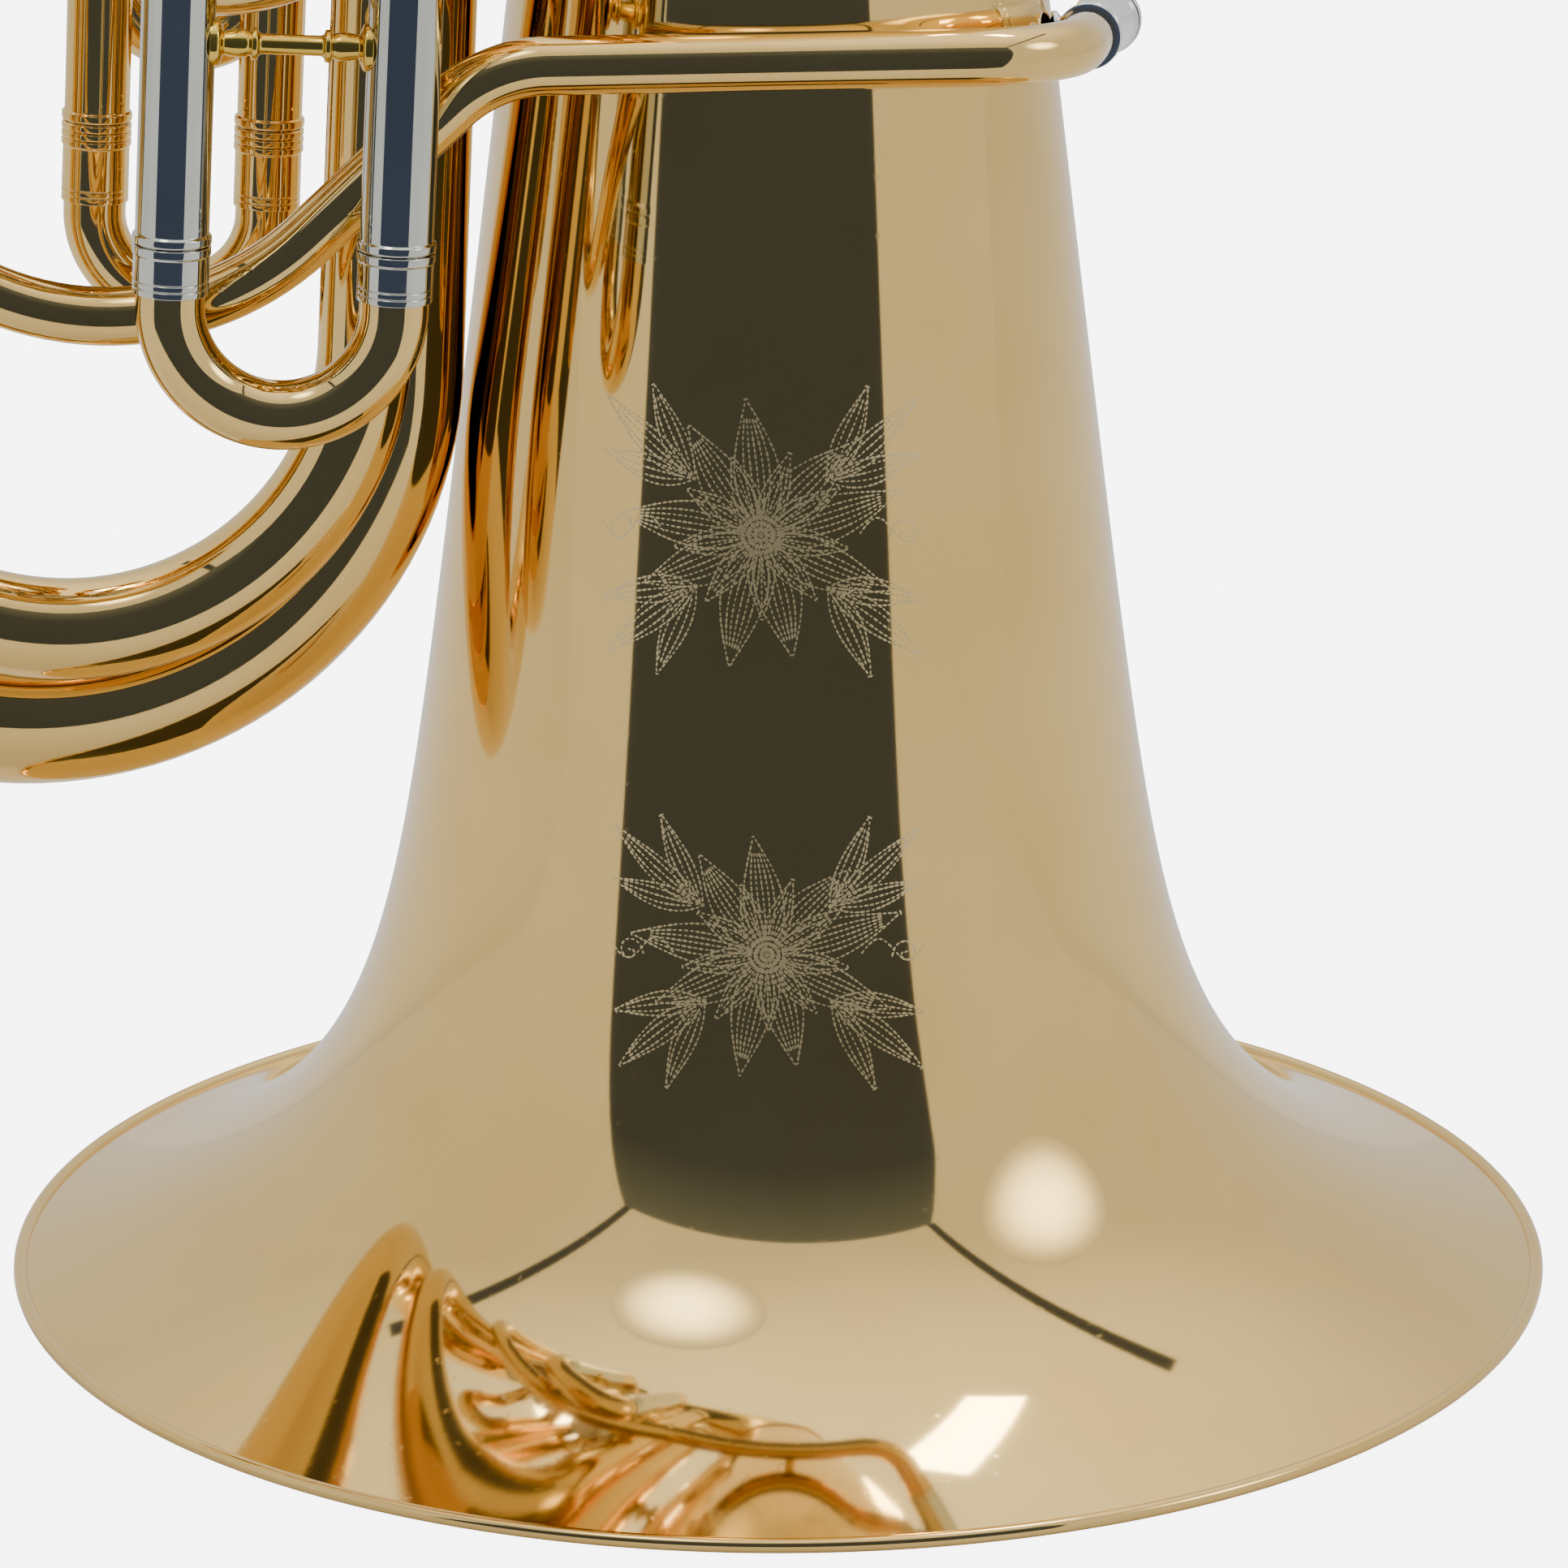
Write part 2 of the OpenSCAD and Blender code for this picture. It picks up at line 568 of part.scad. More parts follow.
module third_loop() {
    color(lacquer) leaned() tube(loop_route, [[0, third_tube_r], [0.03, third_tube_r], [0.1, 6], [1, 6]], 0.5, 12);
}
module third_port_tube() {
    color(lacquer) leaned() tube(rounded([[third_x[0], third_y, tube_top_z], [third_x[0], third_y, 342],
        face(2, -108.8, 342)], [13], port_step), [[0, third_tube_r], [0.3, third_tube_r], [0.7, 6], [1, 6]], 0.5);
}
module main_port_tube() {
    color(lacquer) leaned() {
        tube(rounded([[main_x[1], main_y, tube_top_z], [main_x[1], main_y, 405], face(2, 80, 405)], [13], port_step),
            [[0, slide_tube_r], [1, slide_tube_r]], 0.5);
        translate([main_x[0], main_y, tube_top_z])
            ring(slide_tube_r, slide_tube_r - slide_wall, inner_right_top_z - 8 - tube_top_z);
    }
}
module first_port_tubes() {
    color(lacquer) leaned() {
        tube(rounded([[first_x[0], back_y, first_z + 26], [first_x[0], back_y, 340], face(0, 109.6, 340)],
            [7.5], port_step), [[0, small_tube_r], [1, small_tube_r]], 0.5);
        tube(rounded([[first_x[1], back_y, first_z + 26], [first_x[1], back_y, 375], face(0, 81.3, 375)],
            [13], port_step), [[0, small_tube_r], [1, small_tube_r]], 0.5);
    }
}
module second_port_tubes() {
    color(lacquer) leaned() {
        tube(rounded([[second_x[0], back_y, tube_top_z], [second_x[0], back_y, 345], [-125.5, 2, 345],
            face(1, 63, 345)], [8, 14], port_step), [[0, small_tube_r], [1, small_tube_r]], 0.5);
        tube(rounded([[second_x[1], back_y, tube_top_z], [second_x[1], back_y, 366], [-125.5, 2, 366],
            face(1, 63, 366)], [8, 14], port_step), [[0, small_tube_r], [1, small_tube_r]], 0.5);
    }
}

// ---- braces ----
// A turned brace of length l from the origin along +Z: two feet, two balusters and a thin rod
module turned_brace(l, foot_r, rod_r) {
    b = min(9, l * 0.32);
    half = l > 18 ? [[0, 0], [foot_r, 0], [foot_r, 0.7], [rod_r * 1.35, 1.9], [rod_r * 1.3, b - 2.2],
        [rod_r * 1.6, b - 1.9], [rod_r * 1.6, b - 0.9], [rod_r * 1.3, b - 0.6], [rod_r, b]]
        : [[0, 0], [foot_r, 0], [foot_r, l * 0.22], [rod_r, l * 0.4]];
    rotate_extrude($fn = 48) polygon(concat(half, [for (i = [len(half) - 1:-1:0]) [half[i][0], l - half[i][1]]]));
}

brace_z = 254.7;
module slide_brace() {
    color(yellow_brass) leaned() difference() {
        translate([third_x[0] + third_tube_r - 0.8, third_y, brace_z]) rotate([0, 90, 0])
            turned_brace(third_x[1] - third_x[0] - 2 * third_tube_r + 1.6, 4.4, 1.9);
        at_legs(third_x, third_y, brace_z - 20) cylinder(r = third_tube_r, h = 40);
    }
}

module leg_brace() {
    color(yellow_brass) leaned() difference() {
        translate([-89.6, third_y + third_tube_r - 1, brace_z]) rotate([-90, 0, 0])
            turned_brace(inner_y - third_y - third_tube_r - 6.7, 4.4, 1.9);
        at_legs(third_x, third_y, brace_z - 20) cylinder(r = third_tube_r, h = 40);
        translate([inner_x[0], inner_y, brace_z - 20]) cylinder(r = 8.2, h = 40);
    }
}

bell_brace_z = 262;
module bell_brace() {
    left = outer_x[0] * cos(lean) + (bell_brace_z + 4.7) * sin(lean) + 12.4;
    right = -sqrt(pow(bell_r(bell_brace_z), 2) - outer_y * outer_y) + 0.4;
    color(yellow_brass) translate([left, outer_y, bell_brace_z]) rotate([0, 90, 0]) turned_brace(right - left, 5, 2.6);
}

// Its outer foot is cut to the receiver's round side, clear of the bore
module receiver_brace() {
    color(nickel) difference() {
        translate([50.6, -14, 249.6]) rotate([0, 90, 0]) turned_brace(3.9, 3, 2);
        translate(receiver_at) rotate([-receiver_tip, 0, receiver_turn])
            cylinder(r = leadpipe_r + 0.4, h = receiver_len);
    }
}

module leadpipe_brace() {
    near = leadpipe_r - 60.2;
    far = 0.4 - bell_r(253);
    color(yellow_brass) translate([0, near, 253.4]) rotate([-90, 0, 0]) turned_brace(far - near, 2.4, 2);
}

// Stays that hold the valve set between the two legs of the inner branch
module stay(p, q, p_r, q_r, z) {
    d = q - p;
    l = norm(d);
    translate([p[0], p[1], z]) rotate([0, 90, atan2(d[1], d[0])]) translate([0, 0, p_r])
        turned_brace(l - p_r - q_r, 2.6, 1.8);
}

module branch_stays() {
    color(yellow_brass) leaned() {
        for (z = [320, 415]) stay([inner_x[1], inner_y], [valve_x(0), valve_y], 9.5, casing_r - 0.5, z);
        for (z = [315, 390]) stay([inner_x[0], inner_y], [valve_x(2), valve_y], 7.9, casing_r - 0.5, z);
    }
}

// ---- water key on the top bow, at its crest ----
key_x = (inner_x[1] + outer_x[0]) / 2;
key_y = (inner_y + outer_y) / 2;
key_turn = atan2(outer_y - inner_y, outer_x[0] - inner_x[1]);
crest_z = branch_top_z + top_stub + top_bend_r + 10.85;
module at_crest() { leaned() translate([key_x, key_y, crest_z]) rotate([0, 0, key_turn]) children(); }
pivot_x = 12;
pivot_z = 4.2;

module water_key_nipple() {
    color(lacquer) at_crest() translate([0, 0, -0.4]) ring(2.6, 1.6, 2.6);
}
module water_key_saddle() {
    color(lacquer) at_crest() difference() {
        for (s = [-1, 1]) translate([pivot_x - 2.2, s * 3.6 - 0.8, -4]) cube([4.4, 1.6, pivot_z + 6.2]);
        translate([pivot_x, 0, pivot_z]) rotate([90, 0, 0]) cylinder(r = 1.05, h = 20, center = true);
        translate([0, 0, -top_bend_r - 10.85]) rotate([90, 0, 0])
            cylinder(r = top_bend_r + 9.9, h = 20, center = true, $fn = 180);
    }
}
module water_key_lever() {
    color(lacquer) at_crest() {
        translate([pivot_x, 0, pivot_z]) rotate([90, 0, 0]) cylinder(r = 1, h = 9.6, center = true);
        translate([pivot_x, 0, pivot_z]) rotate([90, 0, 0]) cylinder(r = 2, h = 5, center = true);
        translate([-1, -1.6, pivot_z - 0.6]) cube([pivot_x, 3.2, 1.6]);
        translate([0, 0, pivot_z - 0.8]) cylinder(r = 3.4, h = 1.8);
        translate([pivot_x, -1.6, pivot_z - 0.6]) cube([12, 3.2, 1.6]);
        translate([pivot_x + 15, 0, pivot_z - 0.6]) cylinder(r = 4.6, h = 1.6);
    }
}
module water_key_cork() {
    color("#b98a56") at_crest() translate([0, 0, 2.3]) cylinder(r = 2.9, h = pivot_z - 0.8 - 2.3);
}

bell();
rim_wire();
bell_ferrule();
bottom_bow();
bow_guard();
bow_ferrule();
outer_branch();
top_bow();
branch_ferrules();
inner_branch();
tuning_bow();
leadpipe();
receiver();
valve_casing_1();
valve_casing_2();
valve_casing_3();
top_caps();
bottom_caps();
knuckles();
piston_1();
piston_2();
piston_3();
finger_button_1();
finger_button_2();
finger_button_3();
pearl_1();
pearl_2();
pearl_3();
valve_spring_1();
valve_spring_2();
valve_spring_3();
third_outer_tubes();
third_inner_legs();
third_slide_ferrules();
third_slide_bow();
main_outer_tubes();
main_inner_legs();
main_slide_ferrules();
main_slide_bow();
first_outer_tubes();
first_inner_legs();
first_slide_bow();
second_outer_tubes();
second_inner_legs();
second_slide_bow();
third_loop();
third_port_tube();
main_port_tube();
first_port_tubes();
second_port_tubes();
slide_brace();
leg_brace();
bell_brace();
receiver_brace();
leadpipe_brace();
branch_stays();
water_key_nipple();
water_key_saddle();
water_key_lever();
water_key_cork();
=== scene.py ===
"""Looks of an upright baritone horn: smooth lacquered tubes, turned fittings and an engraved bell."""
import json
import math

import bmesh
import bpy
from bpy.props import FloatProperty, FloatVectorProperty, IntProperty, PointerProperty
from mathutils import Euler, Matrix, Vector


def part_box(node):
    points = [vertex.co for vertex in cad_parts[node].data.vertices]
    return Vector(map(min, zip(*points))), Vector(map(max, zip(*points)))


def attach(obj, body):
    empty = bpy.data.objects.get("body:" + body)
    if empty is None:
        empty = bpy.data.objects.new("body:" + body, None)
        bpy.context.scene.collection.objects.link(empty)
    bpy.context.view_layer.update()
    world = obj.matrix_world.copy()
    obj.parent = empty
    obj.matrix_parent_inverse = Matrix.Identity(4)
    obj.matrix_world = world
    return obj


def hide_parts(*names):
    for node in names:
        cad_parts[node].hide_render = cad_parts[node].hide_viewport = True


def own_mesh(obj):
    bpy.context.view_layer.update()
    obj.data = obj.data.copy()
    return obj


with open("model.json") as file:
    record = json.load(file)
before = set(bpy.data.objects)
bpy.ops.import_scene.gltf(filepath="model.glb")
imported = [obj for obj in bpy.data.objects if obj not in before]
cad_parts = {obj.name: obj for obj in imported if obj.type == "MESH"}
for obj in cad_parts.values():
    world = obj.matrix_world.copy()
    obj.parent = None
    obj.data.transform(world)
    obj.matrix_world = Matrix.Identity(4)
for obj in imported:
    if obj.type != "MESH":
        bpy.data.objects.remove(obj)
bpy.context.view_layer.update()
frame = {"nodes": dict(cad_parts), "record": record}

bl_info = {
    "name": "Baritone horn",
    "version": (1, 0, 0),
    "blender": (4, 5, 0),
    "location": "3D View > Sidebar > Horn",
    "description": "Builds the visible pieces of an upright baritone horn over its packed frame",
    "category": "Object",
}

MM = 0.001
LEAN = math.radians(3.2)
LEANED = Matrix.Rotation(LEAN, 4, "Y")
UPRIGHT = Matrix.Identity(4)

# Places shared by several pieces, in millimetres. All but the bell's are in the leaned frame.
OUTER_X, OUTER_Y, OUTER_BEND_Z, OUTER_TOP_Z = (-84.2, -222.2), -8.0, 180.0, 480.0
INNER_X, INNER_Y, INNER_BEND_Z, INNER_TOP_Z = (-91.3, -203.5), -34.0, 190.5, 445.0
BRANCH_TOP_Z = 455.0
VALVE_Y, VALVE_X0, VALVE_PITCH = -34.0, -172.8, 28.6
CASING_R, CASING_Z0, CASING_Z1 = 12.4, 300.0, 424.0
# How far from a valve's axis a port tube ends, just inside its casing
PORT_REACH = CASING_R - 0.6
THIRD_X, THIRD_Y, THIRD_Z = (-128.3, -88.0), -71.0, 218.0
MAIN_X, MAIN_Y, MAIN_Z = (-141.9, -109.4), 1.0, 224.8
SECOND_X, SECOND_Z = (-139.0, -111.0), 260.2
FIRST_X, FIRST_Z, BACK_Y = (-191.0, -165.0), 306.0, 17.0
FIRST_TOP_Z = 332.0
TUBE_TOP_Z = 300.0
THROAT_Z, THROAT_R = 486.2, 31.1
BOW_START_R = 20.5
# The bell's curve: a cone, a flare added at its mouth, and a stem that narrows less and less
CONE_R, CONE_TAPER, FLARE_REACH = 82.8, 0.1245, 24
STEM_Z, STEM_CURVE = 250, 0.000155
LEADPIPE_R = 5.3
# Degrees that the receiver is tipped from upright and turned about it
RECEIVER_TIP, RECEIVER_TURN = 94.7, -15.3

# The camera: its place in metres, its angles below level and about Z in degrees, and its lens in millimetres
CAMERA_PLACE, CAMERA_DIP, CAMERA_TURN, CAMERA_LENS = (-0.12027, -1.28725, 0.50595), 17.552, -5.388, 158.57


def valve_x(index):
    return VALVE_X0 + VALVE_PITCH * index


# ---------------------------------------------------------------- sizes and colours
class HornSizes(bpy.types.PropertyGroup):
    """Sizes that the pieces are drawn with"""
    mouth_radius: FloatProperty(name="Mouth radius", description="Radius of the bell mouth over its rim wire",
                                default=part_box("rim_wire")[1][0], unit="LENGTH")
    rim_wire_radius: FloatProperty(name="Rim wire radius", description="Radius of the wire in the rim",
                                   default=0.0014, unit="LENGTH")
    bell_wall: FloatProperty(name="Bell wall", description="Thickness of the bell sheet", default=0.0007,
                             unit="LENGTH")
    tube_sides: IntProperty(name="Tube sides", description="Sides round a bent tube", default=72, min=16)
    bell_sides: IntProperty(name="Bell sides", description="Sides round the bell", default=288, min=64)
    stroke_pitch: FloatProperty(name="Cut pitch", description="Distance between two cuts of the engraving",
                                default=0.00105, unit="LENGTH")
    stroke_length: FloatProperty(name="Cut length", description="Half the length of a cut",
                                 default=0.00048, unit="LENGTH")


class HornFinishes(bpy.types.PropertyGroup):
    """Colours of the finishes"""
    lacquer: FloatVectorProperty(name="Lacquered brass", description="Colour under the clear lacquer",
                                 default=(0.82, 0.565, 0.20), subtype="COLOR", size=3)
    lacquer_aged: FloatVectorProperty(name="Aged lacquer", description="Where the lacquer has deepened",
                                      default=(0.78, 0.50, 0.15), subtype="COLOR", size=3)
    yellow: FloatVectorProperty(name="Yellow brass", description="Colour of the turned braces",
                                default=(0.88, 0.60, 0.10), subtype="COLOR", size=3)
    nickel: FloatVectorProperty(name="Nickel silver", description="Colour of the front slide's tubes",
                                default=(0.60, 0.60, 0.54), subtype="COLOR", size=3)
    silver: FloatVectorProperty(name="Silver plate", description="Colour of the receiver",
                                default=(0.82, 0.83, 0.81), subtype="COLOR", size=3)
    floor: FloatVectorProperty(name="Floor", description="Colour of the studio floor",
                               default=(0.90, 0.90, 0.90), subtype="COLOR", size=3)


class HornStudio(bpy.types.PropertyGroup):
    """Light round the horn"""
    brightness: FloatProperty(name="Room brightness", description="Strength of the light from all round",
                              default=0.95, min=0)
    floor_glow: FloatProperty(name="Floor glow", description="Light added to the floor for the camera only",
                              default=6.0, min=0)
    screen_height: FloatProperty(name="Screen height", description="Top of the dark screen", default=2.3,
                                 unit="LENGTH")


# ---------------------------------------------------------------- materials
def new_group(name, inputs, outputs):
    """An empty shader group with its sockets: {name: (socket type, default)}."""
    tree = bpy.data.node_groups.new(name, "ShaderNodeTree")
    for label, (kind, value) in inputs.items():
        tree.interface.new_socket(label, in_out="INPUT", socket_type=kind).default_value = value
    for label, kind in outputs.items():
        tree.interface.new_socket(label, in_out="OUTPUT", socket_type=kind)
    return tree, tree.nodes.new("NodeGroupInput"), tree.nodes.new("NodeGroupOutput")


def hairlines_group():
    """Fine polishing marks and a slight waviness of hand-worked sheet, as a height."""
    tree, given, result = new_group(
        "Hairlines", {"Scale": ("NodeSocketFloat", 400.0), "Waviness": ("NodeSocketFloat", 0.5)},
        {"Height": "NodeSocketFloat"})
    link = tree.links.new
    place = tree.nodes.new("ShaderNodeTexCoord")
    stretch = tree.nodes.new("ShaderNodeMapping")
    stretch.inputs["Scale"].default_value = (1.0, 1.0, 0.06)
    fine = tree.nodes.new("ShaderNodeTexNoise")
    fine.inputs["Detail"].default_value = 4.0
    broad = tree.nodes.new("ShaderNodeTexNoise")
    broad.inputs["Scale"].default_value = 16.0
    broad.inputs["Detail"].default_value = 1.0
    weighted = tree.nodes.new("ShaderNodeMath")
    weighted.operation = "MULTIPLY"
    total = tree.nodes.new("ShaderNodeMath")
    total.operation = "MULTIPLY_ADD"
    total.inputs[1].default_value = 0.02
    link(place.outputs["Object"], stretch.inputs["Vector"])
    link(stretch.outputs["Vector"], fine.inputs["Vector"])
    link(given.outputs["Scale"], fine.inputs["Scale"])
    link(place.outputs["Object"], broad.inputs["Vector"])
    link(broad.outputs["Fac"], weighted.inputs[0])
    link(given.outputs["Waviness"], weighted.inputs[1])
    link(fine.outputs["Fac"], total.inputs[0])
    link(weighted.outputs[0], total.inputs[2])
    link(total.outputs[0], result.inputs["Height"])
    return tree


def ageing_group():
    """Patches where a finish has deepened, with small dull specks: a colour and a roughness."""
    tree, given, result = new_group(
        "Ageing",
        {"Fresh": ("NodeSocketColor", (0.8, 0.7, 0.4, 1)), "Aged": ("NodeSocketColor", (0.6, 0.5, 0.2, 1)),
         "Amount": ("NodeSocketFloat", 0.5), "Smooth": ("NodeSocketFloat", 0.08),
         "Dull": ("NodeSocketFloat", 0.2)},
        {"Color": "NodeSocketColor", "Roughness": "NodeSocketFloat"})
    link = tree.links.new
    place = tree.nodes.new("ShaderNodeTexCoord")
    patches = tree.nodes.new("ShaderNodeTexNoise")
    patches.inputs["Scale"].default_value = 22.0
    patches.inputs["Detail"].default_value = 5.0
    spread = tree.nodes.new("ShaderNodeMapRange")
    spread.inputs["From Min"].default_value = 0.42
    spread.inputs["From Max"].default_value = 0.72
    scaled = tree.nodes.new("ShaderNodeMath")
    scaled.operation = "MULTIPLY"
    colour = tree.nodes.new("ShaderNodeMix")
    colour.data_type = "RGBA"
    specks = tree.nodes.new("ShaderNodeTexNoise")
    specks.inputs["Scale"].default_value = 420.0
    specks.inputs["Detail"].default_value = 3.0
    few = tree.nodes.new("ShaderNodeMapRange")
    few.inputs["From Min"].default_value = 0.64
    few.inputs["From Max"].default_value = 0.78
    rough = tree.nodes.new("ShaderNodeMix")
    rough.data_type = "FLOAT"
    link(place.outputs["Object"], patches.inputs["Vector"])
    link(place.outputs["Object"], specks.inputs["Vector"])
    link(patches.outputs["Fac"], spread.inputs["Value"])
    link(spread.outputs["Result"], scaled.inputs[0])
    link(given.outputs["Amount"], scaled.inputs[1])
    link(scaled.outputs[0], colour.inputs["Factor"])
    link(given.outputs["Fresh"], colour.inputs["A"])
    link(given.outputs["Aged"], colour.inputs["B"])
    link(specks.outputs["Fac"], few.inputs["Value"])
    link(few.outputs["Result"], rough.inputs["Factor"])
    link(given.outputs["Smooth"], rough.inputs["A"])
    link(given.outputs["Dull"], rough.inputs["B"])
    link(colour.outputs["Result"], result.inputs["Color"])
    link(rough.outputs["Result"], result.inputs["Roughness"])
    return tree


GROUPS = {}


def group(name):
    """The shader group of that name, made the first time it is asked for."""
    if name not in GROUPS:
        GROUPS[name] = {"Hairlines": hairlines_group, "Ageing": ageing_group}[name]()
    return GROUPS[name]


def finish(name, fresh, aged, metallic=1.0, smooth=0.05, dull=0.16, amount=0.6, waviness=0.35,
           bump=0.12, coat=0.0, line_scale=500.0):
    """A worn or polished finish from the two shared groups. Made once for each name."""
    if name in bpy.data.materials:
        return bpy.data.materials[name]
    material = bpy.data.materials.new(name)
    material.use_nodes = True
    tree = material.node_tree
    shader = tree.nodes["Principled BSDF"]
    shader.inputs["Metallic"].default_value = metallic
    shader.inputs["Coat Weight"].default_value = coat
    shader.inputs["Coat Roughness"].default_value = 0.03
    ageing = tree.nodes.new("ShaderNodeGroup")
    ageing.node_tree = group("Ageing")
    ageing.inputs["Fresh"].default_value = (*fresh, 1)
    ageing.inputs["Aged"].default_value = (*aged, 1)
    ageing.inputs["Amount"].default_value = amount
    ageing.inputs["Smooth"].default_value = smooth
    ageing.inputs["Dull"].default_value = dull
    marks = tree.nodes.new("ShaderNodeGroup")
    marks.node_tree = group("Hairlines")
    marks.inputs["Scale"].default_value = line_scale
    marks.inputs["Waviness"].default_value = waviness
    raised = tree.nodes.new("ShaderNodeBump")
    raised.inputs["Strength"].default_value = bump
    raised.inputs["Distance"].default_value = 0.0006
    tree.links.new(ageing.outputs["Color"], shader.inputs["Base Color"])
    tree.links.new(ageing.outputs["Roughness"], shader.inputs["Roughness"])
    tree.links.new(marks.outputs["Height"], raised.inputs["Height"])
    tree.links.new(raised.outputs["Normal"], shader.inputs["Normal"])
    material.diffuse_color = (*fresh, 1)
    return material


def lacquered():
    f = bpy.context.scene.horn_finishes
    return finish("Lacquered brass", f.lacquer, f.lacquer_aged, smooth=0.045, dull=0.12)


def bell_sheet():
    f = bpy.context.scene.horn_finishes
    return finish("Bell sheet", f.lacquer, f.lacquer_aged, smooth=0.05, dull=0.13, waviness=0.8, bump=0.1)


def yellow_brass():
    f = bpy.context.scene.horn_finishes
    return finish("Turned yellow brass", f.yellow, (0.62, 0.36, 0.08), smooth=0.09, dull=0.25, amount=0.8)


def nickel_silver():
    f = bpy.context.scene.horn_finishes
    return finish("Nickel silver", f.nickel, (0.46, 0.47, 0.42), smooth=0.05, dull=0.14)


def silver_plate():
    f = bpy.context.scene.horn_finishes
    return finish("Silver plate", f.silver, (0.68, 0.66, 0.58), smooth=0.05, dull=0.14)


def pearl_shell():
    return finish("Pearl", (0.90, 0.88, 0.82), (0.78, 0.80, 0.78), metallic=0.0, smooth=0.12, dull=0.2,
                  amount=1.0, coat=0.5)


def bare_steel():
    return finish("Bare steel", (0.50, 0.50, 0.50), (0.36, 0.35, 0.33), smooth=0.25, dull=0.4)


def natural_cork():
    return finish("Natural cork", (0.52, 0.34, 0.17), (0.30, 0.18, 0.08), metallic=0.0, smooth=0.75,
                  dull=0.9, amount=1.0, bump=0.8, line_scale=900.0)


# ---------------------------------------------------------------- mesh helpers
def mesh_object(name, mesh, material):
    """A shown object with that mesh, in metres, and one material."""
    piece = bpy.data.objects.new(name, mesh)
    bpy.context.scene.collection.objects.link(piece)
    if material:
        mesh.materials.clear()
        mesh.materials.append(material)
    return piece


def shade(mesh, sharp=math.radians(42)):
    mesh.shade_smooth()
    mesh.set_sharp_from_angle(angle=sharp)


def settle(piece, body, slot, *nodes):
    """The piece moves with a body and stands for those CAD nodes, which it hides. The slot is not used."""
    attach(piece, body)
    if nodes:
        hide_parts(*nodes)


def softened(outline, radius=0.25, closed=False):
    """The outline with each sharp corner rounded by a short curve of that reach."""
    points = [Vector(p) for p in outline]
    result = []
    last = len(points) - 1
    for i, point in enumerate(points):
        if not closed and i in (0, last):
            result.append(point)
            continue
        before = points[i - 1] - point
        after = points[(i + 1) % len(points)] - point
        if before.length < 1e-6 or after.length < 1e-6 or before.angle(after) > math.radians(155):
            result.append(point)
            continue
        start = point + before.normalized() * min(radius, before.length * 0.4)
        end = point + after.normalized() * min(radius, after.length * 0.4)
        for t in (0.0, 0.33, 0.67, 1.0):
            result.append(start * (1 - t) ** 2 + point * 2 * t * (1 - t) + end * t * t)
    return result


def turned(name, outline, places, material, sides=96, closed=False):
    """Outlines (radius, height) in millimetres turned about +Z, one for each place, as one piece."""
    bm = bmesh.new()
    for place in places:
        rows = []
        for radius, height in outline:
            if radius < 1e-4:
                rows.append([bm.verts.new(place @ Vector((0, 0, height)) * MM)])
                continue
            rows.append([bm.verts.new(place @ Vector((radius * math.cos(a), radius * math.sin(a), height)) * MM)
                         for a in (2 * math.pi * k / sides for k in range(sides))])
        pairs = list(zip(rows, rows[1:] + rows[:1])) if closed else list(zip(rows, rows[1:]))
        for low, high in pairs:
            for k in range(sides):
                n = (k + 1) % sides
                ring = [low[k % len(low)], low[n % len(low)], high[n % len(high)], high[k % len(high)]]
                corners = list(dict.fromkeys(ring))
                if len(corners) > 2:
                    bm.faces.new(corners)
    bmesh.ops.recalc_face_normals(bm, faces=bm.faces)
    mesh = bpy.data.meshes.new(name)
    bm.to_mesh(mesh)
    bm.free()
    shade(mesh)
    return mesh_object(name, mesh, material)


def corner(before, point, after, radius, step):
    """Points of an arc of that radius that rounds one corner of a route."""
    a, b = (before - point).normalized(), (after - point).normalized()
    turn = math.pi - a.angle(b)
    start = point + a * radius * math.tan(turn / 2)
    centre = point + (a + b).normalized() * radius / math.cos(turn / 2)
    count = max(3, round(turn / step))
    return [centre + (start - centre) * math.cos(turn * k / count) - a * radius * math.sin(turn * k / count)
            for k in range(count + 1)]


def rounded(points, radii, step=math.radians(3)):
    """A route through the points, with a radius at each corner."""
    points = [Vector(p) for p in points]
    route = [points[0]]
    for before, point, after, radius in zip(points, points[1:], points[2:], radii):
        route += corner(before, point, after, radius, step)
    route.append(points[-1])
    return [p for p, q in zip(route, [None] + route) if q is None or (p - q).length > 0.02]


def radius_at(share, stops):
    """Radius at a share of the length, from [(share, radius), ...]."""
    for (s0, r0), (s1, r1) in zip(stops, stops[1:]):
        if share <= s1:
            return r0 + (r1 - r0) * (share - s0) / (s1 - s0)
    return stops[-1][1]


def new_shape_tree(name, inputs):
    """An empty geometry tree: a geometry in and out, those inputs {name: (socket type, default)}, a material."""
    tree = bpy.data.node_groups.new(name, "GeometryNodeTree")
    sockets = tree.interface
    sockets.new_socket("Geometry", in_out="INPUT", socket_type="NodeSocketGeometry")
    for label, (kind, value) in inputs.items():
        sockets.new_socket(label, in_out="INPUT", socket_type=kind).default_value = value
    sockets.new_socket("Material", in_out="INPUT", socket_type="NodeSocketMaterial")
    sockets.new_socket("Geometry", in_out="OUTPUT", socket_type="NodeSocketGeometry")
    return tree, tree.nodes.new("NodeGroupInput"), tree.nodes.new("NodeGroupOutput")


